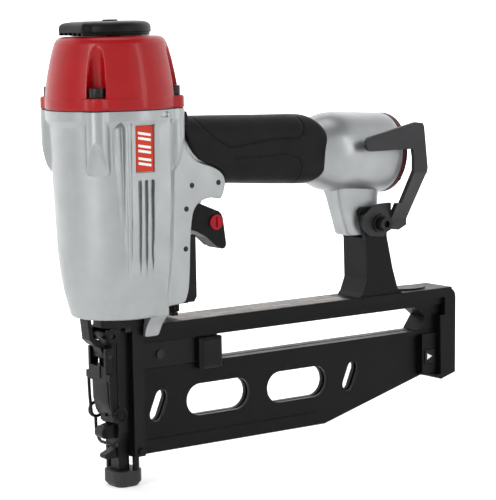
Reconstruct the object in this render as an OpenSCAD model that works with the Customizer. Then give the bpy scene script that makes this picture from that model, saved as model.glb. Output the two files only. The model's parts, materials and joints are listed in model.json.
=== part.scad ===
// Pneumatic finish and flooring nailer: straight magazine, cast frame, tilted handle.
// Millimetres. +Z up along the driver, +X towards the handle's end, origin under the contact foot.

/* [Barrel] */
// Height of the cast barrel from its lower face to the cap joint
barrel_h = 130.5; // [110:0.5:160]
// Radius of the joint flange
flange_r = 42; // [39:0.5:48]
// Radius of the corner bosses
boss_r = 7.4; // [6.6:0.1:9]
// Radius of the cylinder bore
bore_r = 22.5; // [18:0.5:25]
// Wall of the cylinder sleeve
sleeve_wall = 2; // [1.5:0.1:3]

/* [Cap] */
// Height of the cap above its joint
cap_h = 45.5; // [38:0.5:56]
// Thickness of the cap's flange
cap_flange_h = 7; // [5:0.5:9]
// Radius of the exhaust deflector
deflector_r = 28.4; // [25:0.1:31]
// Height of the exhaust deflector
deflector_h = 9.2; // [8:0.2:11]

/* [Handle] */
// Length of the handle from the driver's axis to the end gasket
handle_len = 216; // [180:1:260]
// Fall of the handle towards its end, in degrees
handle_tilt = 3.85; // [0:0.05:6]
// Radius of the round air chamber at the handle's end
chamber_r = 27.4; // [26:0.2:30]
// Radius of the handle's core under the grip
core_r = 17; // [15:0.5:18]

/* [Magazine] */
// Length of the magazine from the driver's axis to its end
mag_len = 274; // [230:1:330]
// Thickness of the nail channel
channel_t = 9; // [8:0.5:11]
// Height of the nail channel
channel_h = 56; // [48:1:67]
// Height of the open window over the channel
window_h = 17.5; // [15:0.5:22]
// Width of the top rail
rail_w = 28; // [24:1:34]
// Height of the top rail
rail_h = 12; // [11:0.5:16]
// Width of the nail slot
nail_slot = 2; // [1.6:0.1:2.4]

/* [Nose] */
// Height of the contact foot
foot_h = 10.5; // [9:0.5:12]
// Travel of the contact arm
contact_travel = 7.8; // [6:0.2:8]

/* [Hook] */
// Gap between the belt hook's finger and the handle
hook_gap = 5; // [3.5:0.5:10]
// Thickness of the hook's plate
hook_t = 3; // [2.5:0.1:4]

/* [Hidden] */
$fn = 64;
fine_fn = 96;
hull_fn = 32;
small = 0.01;

// Levels, from the floor up
channel_z = 18.5;
channel_top = channel_z + channel_h;
rail_z = channel_top + window_h;
rail_top = rail_z + rail_h;
barrel_z = rail_top + 7;
joint_z = barrel_z + barrel_h;
cap_top = joint_z + cap_h;

// Cap joint
boss_at = (flange_r + 12.8) / 2;
screw_r = 3;
screw_head_r = 5;
screw_head_h = 6;
gasket_t = 0.8;
cap_z = joint_z + gasket_t;
dome_r = flange_r - 0.8;

// Cylinder
sleeve_r = bore_r + sleeve_wall;
seat_r = sleeve_r + 0.05;
chamber_in_r = sleeve_r + 5.5;
sleeve_z = barrel_z + 8;
sleeve_top = joint_z - 3.5;
piston_h = 12;
piston_z = sleeve_top - piston_h - 0.5;
bumper_h = 23;
bumper_z = sleeve_z + 0.1;
blade_x = 3.4;
blade_y = 1.8;
tip_z = 6;
stroke = piston_z - bumper_z - bumper_h - 0.5;
blade_rest_z = tip_z + stroke;

// Handle line: its height over the driver's axis
handle_z = joint_z - 25;
web_t = 34;
web_x = 46;

// Trigger
pivot = [43.3, joint_z - 65.3];
trigger_t = 15;
slot_t = trigger_t + 0.6;
valve_x = 64;
valve_r = 7.2;
valve_z = pivot[1] + 7.5;

// Rear leg and arm
leg_t = 18;
cheek_gap = 0.3;
cheek_t = 3.2;
arm_x = 192 + handle_len - 216;
arm_bolt_at = [arm_x + 11.5, handle_z - 62];
hook_in = leg_t / 2 + cheek_gap + cheek_t + 0.3;
hook_out = chamber_r + hook_gap + hook_t + 0.4;

// Nose
rail_in = channel_t / 2 + 0.1;
nose_half = 12.6;
door_x = -6.2;
door_t = 3.6;
cover_half = 10.5;
hinge_at = [-10.6, rail_z + 7];
lever_at = [-12.4, rail_z - 6];
coil_at = [-8.7, channel_z + 30.1];
coil_y = 14.5;

module box(x, y, z) {
    translate([x[0], y[0], z[0]]) cube([x[1] - x[0], y[1] - y[0], z[1] - z[0]]);
}

// A plate in the XZ plane between two values of Y
module plate(points, y) {
    translate([0, y[1], 0]) rotate([90, 0, 0]) linear_extrude(y[1] - y[0]) polygon(points);
}

// A round bar along Y
module bar_y(at, r, y) {
    translate([at[0], y[1], at[1]]) rotate([90, 0, 0]) cylinder(r = r, h = y[1] - y[0]);
}

module bar_x(yz, r, x) {
    translate([x[0], yz[0], yz[1]]) rotate([0, 90, 0]) cylinder(r = r, h = x[1] - x[0]);
}

// The four corners of the cap joint
module corners() {
    for (sx = [-1, 1], sy = [-1, 1]) translate([sx * boss_at, sy * boss_at, 0]) children();
}

// The handle's own frame: x runs along the tilted handle
module along_handle() {
    translate([0, 0, handle_z]) rotate([0, handle_tilt, 0]) children();
}

// Round turning about the handle's line: profile points are [along, radius]
module turned_on_handle(points) {
    along_handle() rotate([0, 90, 0]) rotate([0, 0, 90]) rotate_extrude($fn = fine_fn)
        polygon([for (p = points) [p[1], p[0]]]);
}

function arc(at, r, a0, a1, n = 8) =
    [for (i = [0:n]) let (a = a0 + (a1 - a0) * i / n) [at[0] + r * cos(a), at[1] + r * sin(a)]];

// A tube swept along points: rings stand square to the path
function unit(v) = v / norm(v);
function tangent(p, i) = unit(p[min(i + 1, len(p) - 1)] - p[max(i - 1, 0)]);
function side_of(t, up) = unit(cross(t, up));
module tube(path, r, up = [0, 1, 0], sides = 8) {
    n = len(path);
    rings = [for (i = [0:n - 1]) let (t = tangent(path, i), s = side_of(t, up), u = cross(s, t))
        for (k = [0:sides - 1]) path[i] + r * (cos(360 * k / sides) * s + sin(360 * k / sides) * u)];
    walls = [for (i = [0:n - 2], k = [0:sides - 1]) let (a = i * sides + k,
        b = i * sides + (k + 1) % sides) [a, b, b + sides, a + sides]];
    first = [for (k = [sides - 1:-1:0]) k];
    last = [for (k = [0:sides - 1]) (n - 1) * sides + k];
    polyhedron(concat(rings, []), concat([first], walls, [last]), convexity = 6);
}

// A compression spring standing on z = 0
module coil_spring(r, wire, h, turns) {
    steps = turns * 14;
    path = [for (i = [0:steps]) let (a = 360 * i / 14)
        [r * cos(a), r * sin(a), wire + (h - 2 * wire) * i / steps]];
    tube(path, wire, [0, 0, 1], 6);
}

module socket_screw(r, head_r, head_h, length) {
    difference() {
        union() {
            cylinder(r = head_r, h = head_h);
            translate([0, 0, -length]) cylinder(r = r, h = length);
        }
        translate([0, 0, head_h - 3]) cylinder(r = head_r * 0.52, h = 4, $fn = 6);
    }
}

// ---- Cast frame ----

// Side outline of the web behind the barrel, with the rounded trigger lug
function web_outline(grow = 0) = concat(
    [[18, barrel_z + 3.6], [40.2, barrel_z + 5], [44.5 + grow, barrel_z + 16],
     [web_x + grow, pivot[1] - 27.6], [48.3 + grow, pivot[1] - 4.8], [52.5, pivot[1] + 2.5],
     [57, pivot[1] + 5.1], [62, pivot[1] + 5.7], [69.6, pivot[1] + 4.8]],
    arc([65.8 + grow, pivot[1] + 14.6], 8.5, -58, 55, 8),
    arc([66.5 + grow, pivot[1] + 46], 22.5 - grow, 262, 190, 8),
    [[43.4 + grow, joint_z - 18], [41 + grow, joint_z - 4], [40 + grow, joint_z - 2], [18, joint_z - 2]]);

module barrel_outside() {
    rotate_extrude($fn = fine_fn) polygon([
        [0, barrel_z], [27.5, barrel_z], [29, barrel_z + 1.5], [flange_r - 8.8, barrel_z + 16],
        [flange_r - 7, barrel_z + 27], [flange_r - 5.2, barrel_z + 42],
        [flange_r - 4, barrel_z + 73], [flange_r - 3.1, joint_z - 35],
        [flange_r - 2.6, joint_z - 12], [flange_r - 2.4, joint_z - 9], [flange_r, joint_z - 6.5],
        [flange_r, joint_z], [0, joint_z]]);
    corners() {
        translate([0, 0, joint_z - 18]) cylinder(r = boss_r, h = 18);
        translate([0, 0, joint_z - 36]) cylinder(r1 = 0.6, r2 = boss_r, h = 18);
    }
}

// Flat side faces that narrow down into the two front legs
module side_faces() {
    top = flange_r - 3.4;
    mid = flange_r - 6;
    low = flange_r - 15;
    hull() {
        box([-13.7, 19], [-top, top], [joint_z - 7, joint_z - 6]);
        box([-12.4, 17.5], [-mid, mid], [barrel_z + 30, barrel_z + 31]);
    }
    hull() {
        box([-12.4, 17.5], [-mid, mid], [barrel_z + 29, barrel_z + 30.5]);
        box([5, 23.5], [-low, low], [barrel_z + 1, barrel_z + 2]);
    }
    hull() {
        box([10, 23.5], [-low, low], [barrel_z + 1, barrel_z + 2]);
        box([9.4, 20.4], [-leg_y(), leg_y()], [rail_top - 7, rail_top - 6.9]);
    }
}
function leg_y() = rail_w / 2 + 3.4;

module handle_outside() {
    turned_on_handle([
        [30, 0], [30, core_r], [handle_len - 56, core_r], [handle_len - 56, chamber_r - 3],
        [handle_len - 53, chamber_r - 2], [handle_len - 44, chamber_r - 0.2],
        [handle_len, chamber_r], [handle_len, 0]]);
}

// Leg under the handle's end that the magazine arm bolts to
module rear_leg() {
    x = arm_x;
    b = arm_bolt_at;
    plate([[x - 17, handle_z - 28], [x - 16.4, handle_z - 50], [x - 10.5, handle_z - 68.2],
           [b[0] + 4, handle_z - 70.5], [b[0] + 8, handle_z - 64], [x + 16.5, handle_z - 50],
           [x + 20, handle_z - 34], [x + 22, handle_z - 26]], [-leg_t / 2, leg_t / 2]);
}

module frame_hollows() {
    // barrel: sleeve seat, air chamber around the sleeve, driver opening
    translate([0, 0, sleeve_z]) cylinder(r = seat_r, h = barrel_h, $fn = fine_fn);
    translate([0, 0, sleeve_z + 40]) cylinder(r = chamber_in_r, h = barrel_h, $fn = fine_fn);
    translate([0, 0, barrel_z - 1]) cylinder(r = 8, h = 10);
    // air way through the handle
    turned_on_handle([[26, 0], [26, core_r - 4], [handle_len - 50, core_r - 4],
        [handle_len - 42, chamber_r - 4.4], [handle_len + 1, chamber_r - 4.4],
        [handle_len + 1, 0]]);
    corners() translate([0, 0, joint_z - 16]) cylinder(r = screw_r + 0.05, h = 17);
    // trigger slot, its pin, the valve and the guide pin
    box([35, web_x + 40], [-slot_t / 2, slot_t / 2], [pivot[1] - 15, pivot[1] + 6]);
    bar_y(pivot, 1.55, [-web_t, web_t]);
    bar_y(guide_pin_at(), 1.55, [-web_t, web_t]);
    for (at = lug_pins_at()) bar_y(at, 1.55, [-web_t, -9]);
    translate([valve_x, 0, valve_z - 10]) cylinder(r = valve_r + 0.05, h = 28);
    // three cooling grooves and the badge recess on each side
    for (s = [-1, 1]) {
        badge_recess(s);
        grooves(s);
    }
    // front legs straddle the rail and the nose
    box([0, 30], [-rail_w / 2 - 0.2, rail_w / 2 + 0.2], [rail_top - 20, barrel_z]);
    // arm bolt
    bar_y(arm_bolt_at, 3.1, [-leg_t, leg_t]);
    // nose bolts
    for (at = nose_bolt_places()) translate([at[0], at[1], barrel_z - 1])
        cylinder(r = nose_bolt_r + 0.05, h = 7.5);
    // way under the web for the depth wheel and the foot's link
    box([wheel_x - 6, wheel_x + 9], [-link_half - 0.8, link_half + 0.8], [barrel_z - 1, barrel_z + 18.5]);
    box([wheel_x - 2.5, wheel_x + 2.5], [0, web_t], [barrel_z - 1, barrel_z + 7.4]);
}
nose_bolt_r = 1.9;
function front_bolts() = [[0.6, -11.2], [0.6, 11.2]];
function rear_bolts() = [[19, -7.8], [19, 7.8]];
function nose_bolt_places() = concat(front_bolts(), rear_bolts());

badge = [[-7.2, 6], [joint_z - 37.8, joint_z - 8.8]];
badge_depth = 1;
badge_y = flange_r - 5;
module badge_recess(s) {
    y0 = badge_y - 0.2;
    box(badge[0], s > 0 ? [y0, y0 + 9] : [-y0 - 9, -y0], badge[1]);
}

groove_top = joint_z - 43;
groove_h = 60;
module grooves(s) {
    for (x = [-4.6, -0.2, 4.2]) translate([x, s * (flange_r - 4.2), groove_top]) rotate([-1.6 * s, 0, 0])
        translate([0, 0, -groove_h]) cylinder(r1 = 0.5, r2 = 1.3, h = groove_h, $fn = 24);
}

module frame() {
    color("silver") difference() {
        union() {
            barrel_outside();
            side_faces();
            plate(web_outline(), [-web_t / 2, web_t / 2]);
            handle_outside();
            rear_leg();
        }
        frame_hollows();
    }
}

module side_badge() {
    color("orangered") for (s = [-1, 1]) {
        y0 = badge_y - 0.2;
        clear = 0.3;
        y = s > 0 ? [y0, y0 + badge_depth] : [-y0 - badge_depth, -y0];
        box([badge[0][0] + clear, badge[0][1] - clear], y, [badge[1][0] + clear, badge[1][1] - clear]);
    }
}

// ---- Cap and exhaust ----

module cap_gasket() {
    color("dimgray") difference() {
        union() {
            translate([0, 0, joint_z]) cylinder(r = flange_r - 0.6, h = gasket_t, $fn = fine_fn);
            corners() translate([0, 0, joint_z]) cylinder(r = boss_r - 0.6, h = gasket_t);
        }
        translate([0, 0, joint_z - 1]) cylinder(r = chamber_in_r + 1, h = 3, $fn = fine_fn);
        corners() translate([0, 0, joint_z - 1]) cylinder(r = screw_r + 0.2, h = 3);
    }
}

port_r = 9;
module cylinder_cap() {
    flange_top = cap_z + cap_flange_h;
    color("firebrick") difference() {
        union() {
            translate([0, 0, cap_z]) cylinder(r = flange_r, h = cap_flange_h, $fn = fine_fn);
            corners() translate([0, 0, cap_z]) cylinder(r = boss_r, h = cap_flange_h + 0.6);
            rotate_extrude($fn = fine_fn) polygon([
                [0, cap_z + 1], [dome_r, cap_z + 1], [dome_r, flange_top + 0.5],
                [dome_r - 1.2, flange_top + 13], [dome_r - 4.8, cap_top - 4],
                [dome_r - 6.2, cap_top - 1.2], [dome_r - 8.6, cap_top], [0, cap_top]]);
        }
        translate([0, 0, cap_z - 1]) cylinder(r = chamber_in_r + 1, h = cap_h - 8, $fn = fine_fn);
        translate([0, 0, cap_z]) cylinder(r = port_r, h = cap_h + 2);
        corners() {
            translate([0, 0, flange_top + 0.6]) cylinder(r = boss_r - 1.4, h = cap_h);
            translate([0, 0, cap_z - 1]) cylinder(r = screw_r + 0.2, h = cap_flange_h + 3);
        }
    }
}

module cap_screws() {
    color("black") corners() translate([0, 0, cap_z + cap_flange_h + 0.6])
        socket_screw(screw_r, screw_head_r, screw_head_h, cap_flange_h + gasket_t + 14);
}

// A low turning cover with a hood that throws the exhaust forwards
module exhaust_deflector() {
    z = cap_top + 0.4;
    hood = deflector_r + 0.6;
    color("black") difference() {
        union() {
            translate([0, 0, z]) cylinder(r = deflector_r - 2, h = deflector_h - 1.5);
            translate([0, 0, z + 1.5]) cylinder(r = deflector_r, h = deflector_h - 3);
            translate([0, 0, z + deflector_h - 1.5])
                cylinder(r1 = deflector_r, r2 = deflector_r - 1.5, h = 1.5);
            box([-hood, 0], [-15, 15], [z + 1.2, z + deflector_h]);
        }
        translate([0, 0, z - 1]) cylinder(r = port_r + 5, h = deflector_h - 1.2);
        box([-hood - 1, -port_r], [-13, 13], [z - 0.5, z + deflector_h - 2.6]);
        translate([0, 0, z]) cylinder(r = 2.7, h = deflector_h + 2);
        translate([0, 0, z + deflector_h - 1]) cylinder(r = 6.2, h = 2);
    }
    // ribs under the hood
    color("black") for (y = [-9, -3, 3, 9])
        box([-hood + 1, -hood + 9], [y - 0.7, y + 0.7], [z + 0.3, z + deflector_h - 2.2]);
}

module deflector_screw() {
    z = cap_top + 0.4 + deflector_h - 1;
    color("dimgray") difference() {
        union() {
            translate([0, 0, z]) cylinder(r1 = 5.6, r2 = 4.6, h = 1.8);
            translate([0, 0, z - 22]) cylinder(r = 2.5, h = 22);
            translate([0, 0, z - 22]) cylinder(r = port_r - 0.4, h = 3);
        }
        translate([0, 0, z + 0.4]) cylinder(r = 2, h = 3, $fn = 6);
        for (a = [0:60:300]) rotate([0, 0, a]) translate([5.4, 0, z - 23]) cylinder(r = 1.7, h = 6);
    }
}

// ---- Cylinder, piston and valves ----

module cylinder_sleeve() {
    color("lightsteelblue") difference() {
        union() {
            translate([0, 0, sleeve_z]) cylinder(r = sleeve_r, h = sleeve_top - sleeve_z, $fn = fine_fn);
            translate([0, 0, sleeve_z + 42]) cylinder(r = sleeve_r + 2.2, h = 5, $fn = fine_fn);
        }
        translate([0, 0, sleeve_z - 1]) cylinder(r = bore_r, h = barrel_h, $fn = fine_fn);
        for (a = [0:45:315]) rotate([0, 0, a])
            bar_x([0, sleeve_z + 34], 1.6, [bore_r - 3, sleeve_r + 3]);
    }
}

module sleeve_ring() {
    color("black") difference() {
        translate([0, 0, sleeve_z + 47.1]) cylinder(r = sleeve_r + 2.6, h = 2.6);
        translate([0, 0, sleeve_z + 46]) cylinder(r = sleeve_r + 0.05, h = 5, $fn = fine_fn);
    }
}

module bumper() {
    color("tan") difference() {
        union() {
            translate([0, 0, bumper_z]) cylinder(r = bore_r - 1, h = bumper_h - 6);
            translate([0, 0, bumper_z + bumper_h - 6]) cylinder(r1 = bore_r - 1, r2 = bore_r - 6, h = 6);
        }
        translate([0, 0, bumper_z - 1]) cylinder(r = 5, h = bumper_h + 2);
    }
}

module piston() {
    groove_z = piston_z + 4.5;
    color("gainsboro") difference() {
        union() {
            translate([0, 0, piston_z]) cylinder(r = bore_r - 0.4, h = piston_h, $fn = fine_fn);
            translate([0, 0, piston_z - 6]) cylinder(r = 4.4, h = 7);
        }
        difference() {
            translate([0, 0, groove_z]) cylinder(r = bore_r + 1, h = 3);
            translate([0, 0, groove_z - 1]) cylinder(r = bore_r - 2.6, h = 5);
        }
        translate([0, 0, piston_z + 7.5]) cylinder(r = bore_r - 7, h = piston_h);
        translate([-blade_x / 2, -blade_y / 2, piston_z - 7]) cube([blade_x, blade_y, piston_h + 6]);
    }
}

module piston_ring() {
    color("black") difference() {
        translate([0, 0, piston_z + 4.6]) cylinder(r = bore_r - 0.1, h = 2.8, $fn = fine_fn);
        translate([0, 0, piston_z + 4]) cylinder(r = bore_r - 2.5, h = 4);
    }
}

module driver_blade() {
    color("slategray") box([-blade_x / 2, blade_x / 2], [-blade_y / 2, blade_y / 2],
        [blade_rest_z, piston_z + 7.5]);
}

valve_lift = 3;
head_z = sleeve_top + 0.1;
module head_valve() {
    color("whitesmoke") difference() {
        union() {
            translate([0, 0, head_z + 2]) cylinder(r = sleeve_r + 4.2, h = 9, $fn = fine_fn);
            translate([0, 0, head_z + 11]) cylinder(r = 15, h = 5);
        }
        translate([0, 0, head_z]) cylinder(r = bore_r - 2.5, h = 7);
        translate([0, 0, head_z]) cylinder(r = 6, h = 20);
        for (a = [30:60:330]) rotate([0, 0, a]) translate([11, 0, head_z]) cylinder(r = 2.5, h = 20);
    }
}

module head_valve_seal() {
    color("black") difference() {
        translate([0, 0, head_z]) cylinder(r = sleeve_r + 4, h = 2, $fn = fine_fn);
        translate([0, 0, head_z - 1]) cylinder(r = bore_r - 2.5, h = 4);
    }
}

module head_valve_spring() {
    z = head_z + 11.2;
    color("silver") translate([0, 0, z]) coil_spring(19.5, 0.9, cap_z + cap_h - 9.4 - z, 3);
}

// ---- Handle, its end and the grip ----

module grip() {
    r0 = core_r + 5;
    r1 = core_r + 7;
    color("#2b2b2b") difference() {
        union() {
            intersection() {
                along_handle() hull() {
                    translate([42, 0, 0]) rotate([0, 90, 0]) scale([1, 0.86, 1])
                        cylinder(r = r0, h = 1, $fn = 48);
                    translate([handle_len - 66, 0, 0]) rotate([0, 90, 0]) scale([1, 0.9, 1])
                        cylinder(r = r1, h = 1, $fn = 48);
                    translate([handle_len - 54, 0, 0]) rotate([0, 90, 0]) scale([1, 0.9, 1])
                        cylinder(r = r1 - 2, h = 1, $fn = 48);
                }
                box([web_x - 4, handle_len], [-40, 40], [pivot[1] + 8, joint_z]);
            }
            box([web_x - 4, web_x + 7], [-15, 15], [joint_z - 24, joint_z - 3.6]);
        }
        turned_on_handle([[20, 0], [20, core_r + 0.05], [handle_len - 56, core_r + 0.05],
            [handle_len - 56, chamber_r], [handle_len, chamber_r], [handle_len, 0]]);
        plate(web_outline(0.1), [-50, 50]);
        translate([0, 0, barrel_z]) cylinder(r = flange_r + 1, h = barrel_h + 4, $fn = fine_fn);
        corners() translate([0, 0, barrel_z]) cylinder(r = boss_r + 1, h = barrel_h + 4);
    }
}

gasket_w = 1.6;
module end_gasket() {
    color("crimson") turned_on_handle([[handle_len, chamber_r - 6], [handle_len, chamber_r + 0.1],
        [handle_len + gasket_w, chamber_r + 0.1], [handle_len + gasket_w, chamber_r - 6]]);
}

module end_screw_places() {
    for (a = [45:90:315]) along_handle() rotate([a, 0, 0])
        translate([handle_len, 0, chamber_r - 4.6]) rotate([0, 90, 0]) children();
}

thread_r = 5.7;
module end_cap() {
    x = handle_len + gasket_w;
    color("#222222") difference() {
        turned_on_handle([[x, 0], [x, chamber_r - 0.2], [x + 1.6, chamber_r - 0.2],
            [x + 3.4, chamber_r - 2.6], [x + 5, 15], [x + 8, 12], [x + 8, 0]]);
        turned_on_handle([[x - 1, 0], [x - 1, thread_r + 3.05], [x + 9, thread_r + 3.05], [x + 9, 0]]);
        end_screw_places() translate([0, 0, gasket_w + 1.7]) cylinder(r = 3.1, h = 8);
    }
}

// Steel bush with the air thread, drawn as its minor-diameter bore
module air_bush() {
    x = handle_len + gasket_w;
    color("darkgray") turned_on_handle([[x - 6, thread_r], [x - 6, thread_r + 4.6],
        [x - 0.1, thread_r + 4.6], [x - 0.1, thread_r + 3], [x + 9.5, thread_r + 3],
        [x + 9.5, thread_r]]);
}

module inlet_screen() {
    x = handle_len + gasket_w - 6;
    color("goldenrod") difference() {
        turned_on_handle([[x - 12, 0], [x - 12, 4.5], [x - 0.1, 6.4], [x - 0.1, 0]]);
        turned_on_handle([[x - 11, 0], [x - 11, 3.6], [x + 1, 5.6], [x + 1, 0]]);
    }
}

module end_cap_screws() {
    color("black") end_screw_places() translate([0, 0, gasket_w + 1.8])
        difference() {
            cylinder(r = 2.9, h = 2.2);
            translate([0, 0, 1]) cylinder(r = 1.3, h = 3, $fn = 6);
        }
}

// ---- Trigger group ----

module trigger() {
    z = pivot[1];
    y = trigger_t / 2;
    color("#1c1c1c") difference() {
        plate(concat(arc(pivot, 4.2, 90, 270, 8), [[52.6, z - 15], [57, z - 16.2], [65.2, z - 20.8],
            [73, z - 27.6]], arc([77.4, z - 26.3], 3, 215, 370, 6),
            [[78.2, z - 9.4], [77, z - 6.4], [75.2, z - 4.5], [59.7, z + 1.9], [50, z + 2.8]]), [-y, y]);
        // hollow for the contact lever, open upwards
        plate([[pivot[0] - 6, z - 3.2], [52, z - 8], [62, z - 10], [72.5, z - 9], [72.5, z + 6],
            [pivot[0] - 6, z + 6]], [-4.6, 4.6]);
        box([44.8, 54], [-5.1, 5.1], [z - 30, z + 6]);
        bar_y(pivot, 1.6, [-20, 20]);
        bar_y(dial_at(), 5.05, [-y - 1, -y + 2]);
        bar_y(lever_pin_at(), 1.25, [-5.6, 20]);
    }
}
function dial_at() = [72.2, pivot[1] - 11.3];
function lever_pin_at() = [69.5, pivot[1] - 7];

module trigger_pin() {
    color("gray") bar_y(pivot, 1.5, [-web_t / 2 - 0.3, web_t / 2 + 0.3]);
}

module guide_pin() {
    color("gray") bar_y(guide_pin_at(), 1.5, [-web_t / 2 + 0.8, web_t / 2 - 0.8]);
    color("gray") for (at = lug_pins_at()) bar_y(at, 1.5, [-web_t / 2 + 0.8, -9.1]);
}
function guide_pin_at() = [pivot[0] - 1.1, pivot[1] - 25.6];
function lug_pins_at() = [[47.9, pivot[1] + 14.8], [68.5, pivot[1] + 15.4]];

module contact_lever() {
    at = lever_pin_at();
    z = pivot[1];
    color("dimgray") difference() {
        plate([[at[0] + 2.2, z - 8.4], [at[0] + 2.2, z - 5.4], [60, z - 3.4], [49.4, z - 2.6],
            [49.4, z - 4.6], [60, z - 6.6]], [-4, 4]);
        bar_y(at, 1.25, [-20, 20]);
    }
}

module lever_pin() {
    color("gray") bar_y(lever_pin_at(), 1.2, [-5.4, trigger_t / 2 - 0.4]);
}

module mode_dial() {
    y = -trigger_t / 2;
    color("crimson") difference() {
        bar_y(dial_at(), 4.95, [y - 1.4, y + 1.9]);
        box([dial_at()[0] - 0.7, dial_at()[0] + 0.7], [y - 2, y - 0.4],
            [dial_at()[1] - 3.4, dial_at()[1] + 3.4]);
    }
}

stem_r = 2;
module valve_body() {
    color("black") difference() {
        translate([valve_x, 0, valve_z - 2.2]) cylinder(r = valve_r, h = 19);
        translate([valve_x, 0, valve_z - 3]) cylinder(r = stem_r + 0.1, h = 30);
        translate([valve_x, 0, valve_z + 1]) cylinder(r = 4.6, h = 12);
    }
}

valve_stroke = 2;
module valve_stem() {
    color("silver") {
        translate([valve_x, 0, valve_z - 6.4]) cylinder(r = stem_r, h = 18);
        translate([valve_x, 0, valve_z + 1.2]) cylinder(r = 4.3, h = 2);
    }
}

module valve_spring() {
    color("silver") translate([valve_x, 0, valve_z + 3.3]) coil_spring(3.3, 0.4, 9.6, 5);
}

guide_x = [web_x + 0.1, web_x + 9];
guide_half = 9.6;
guide_z = barrel_z + 3.7;
guide_top = pivot[1] - 18;
link_x = [48, 51.6];
link_half = 4.6;
wheel_x = 41.5;
wheel_r = 5;
wheel_h = 4.4;
shelf_z = rail_top + 2;
shelf_t = 2.2;
wheel_z = shelf_z + shelf_t + 0.4;
heel_z = wheel_z + wheel_h + 0.4;
heel_t = 2;
spring_z = wheel_z + wheel_h + 11;
spring_h = 22;
// Channel behind the web that the contact link slides in
module link_guide() {
    room_top = heel_z + heel_t + contact_travel + 0.6;
    slack = 0.3;
    color("#1e1e1e") difference() {
        union() {
            box([44.2, guide_x[1]], [-guide_half, guide_half], [barrel_z + 11, guide_top]);
            plate([[40.8, guide_z + 1.3], [42, guide_z], [guide_x[1] - 2, guide_z], [guide_x[1], guide_z + 3],
                   [guide_x[1], barrel_z + 12], [43, barrel_z + 12]], [-guide_half, guide_half]);
        }
        plate(web_outline(0.05), [-30, 30]);
        // way for the link, room for the wheel and the heel, and the spring's pocket
        box([link_x[0] - slack, link_x[1] + slack], [-link_half - slack, link_half + slack],
            [guide_z - 1, guide_top + 1]);
        box([wheel_x - 6, link_x[1] + slack], [-link_half - 0.8, link_half + 0.8], [guide_z - 1, room_top]);
        box([wheel_x - 2.5, wheel_x + 2.5], [0, guide_half + 1], [guide_z - 1, barrel_z + 7.4]);
        box([link_x[0] - slack, link_x[1] + slack], [0, 8.6], [room_top - 5, spring_z + spring_h + slack]);
    }
}

// ---- Nose ----

// Rounded pad that meets the work
module contact_foot() {
    half_x = 10.3;
    half_y = 11;
    corner = 7.5;
    middle = 1.3;
    color("#181818") difference() {
        hull() {
            for (sx = [-1, 1], sy = [-1, 1])
                translate([middle + sx * (half_x - corner), sy * (half_y - corner), 0]) {
                    cylinder(r = corner - 2.5, h = 1, $fn = hull_fn);
                    translate([0, 0, 3]) cylinder(r = corner, h = foot_h - 3, $fn = hull_fn);
                }
        }
        box([-5.4, 4.2], [-5, 5], [-1, foot_h + 1]);
        for (s = [-1, 1]) translate([rod_at[0], s * rod_at[1], rod_z(s) - 0.05])
            cylinder(r = rod_r + 0.05, h = foot_h);
        box([strip_x[0] - 0.1, strip_x[1] + 0.1], [6.9, 12], [4.9, 7.5]);
    }
}

// Two round rods that guide the foot, running up inside the nose
rod_at = [6.2, 8];
rod_r = 2.2;
rod_top = foot_h + 18;
function rod_z(s) = s > 0 ? 7.6 : 3.1;
module guide_rods() {
    color("silver") for (s = [-1, 1]) translate([rod_at[0], s * rod_at[1], rod_z(s)])
        cylinder(r = rod_r, h = rod_top - rod_z(s));
}

// Flat strip from the foot up the far side of the nose
strip_x = [-1.2, 5.6];
strip_y = [nose_half + 1.2, nose_half + 3.6];
strip_top = channel_z + 30;
module contact_rod() {
    color("#303030") {
        box(strip_x, [7, strip_y[1]], [5, 7.4]);
        box(strip_x, strip_y, [5, strip_top]);
    }
}

// Side link from the nose to the depth wheel, outside the rail on the far side
link_y = [rail_w / 2 + 4.2, rail_w / 2 + 6.2];
module contact_link() {
    z0 = channel_z + 20;
    post = [wheel_x - 2, wheel_x + 2];
    color("#303030") {
        box(strip_x, [strip_y[1] + 0.05, link_y[1]], [z0, z0 + 8]);
        plate([[strip_x[0], z0], [9, z0], [13.4, z0 + 6], [13.4, rail_z - 26], [post[1], rail_z - 2],
               [post[1], shelf_z + shelf_t], [post[0], shelf_z + shelf_t], [post[0], rail_z + 3],
               [9, rail_z - 20], [4.2, rail_z - 24], [strip_x[0], z0 + 14]], link_y);
        box(post, [-link_half, link_y[1]], [shelf_z, shelf_z + shelf_t]);
    }
}

module depth_spindle() {
    color("silver") translate([wheel_x, 0, shelf_z + shelf_t + 0.05]) cylinder(r = 1.5, h = 10.6);
}

module depth_wheel() {
    color("#262626") translate([wheel_x, 0, wheel_z]) difference() {
        cylinder(r = wheel_r, h = wheel_h);
        translate([0, 0, -1]) cylinder(r = 1.56, h = wheel_h + 2);
        for (a = [0:30:330]) rotate([0, 0, a]) translate([wheel_r + 0.3, 0, -1]) cylinder(r = 0.8, h = wheel_h + 2);
    }
}

// Upper half of the link: its heel rests on the wheel and it reaches up to the trigger's lever
module upper_link() {
    color("#303030") difference() {
        union() {
            box(link_x, [-link_half, link_half], [heel_z, pivot[1] - 9.4]);
            box([wheel_x - 3.5, link_x[1]], [-link_half, link_half], [heel_z, heel_z + heel_t]);
            box(link_x, [0, 8.2], [spring_z - 2.2, spring_z]);
        }
        translate([wheel_x, 0, heel_z - 1]) cylinder(r = 1.56, h = heel_t + 2);
    }
}

module contact_spring() {
    color("silver") translate([(link_x[0] + link_x[1]) / 2, 6.75, spring_z + 0.1]) coil_spring(1.3, 0.4, spring_h, 7);
}

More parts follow.
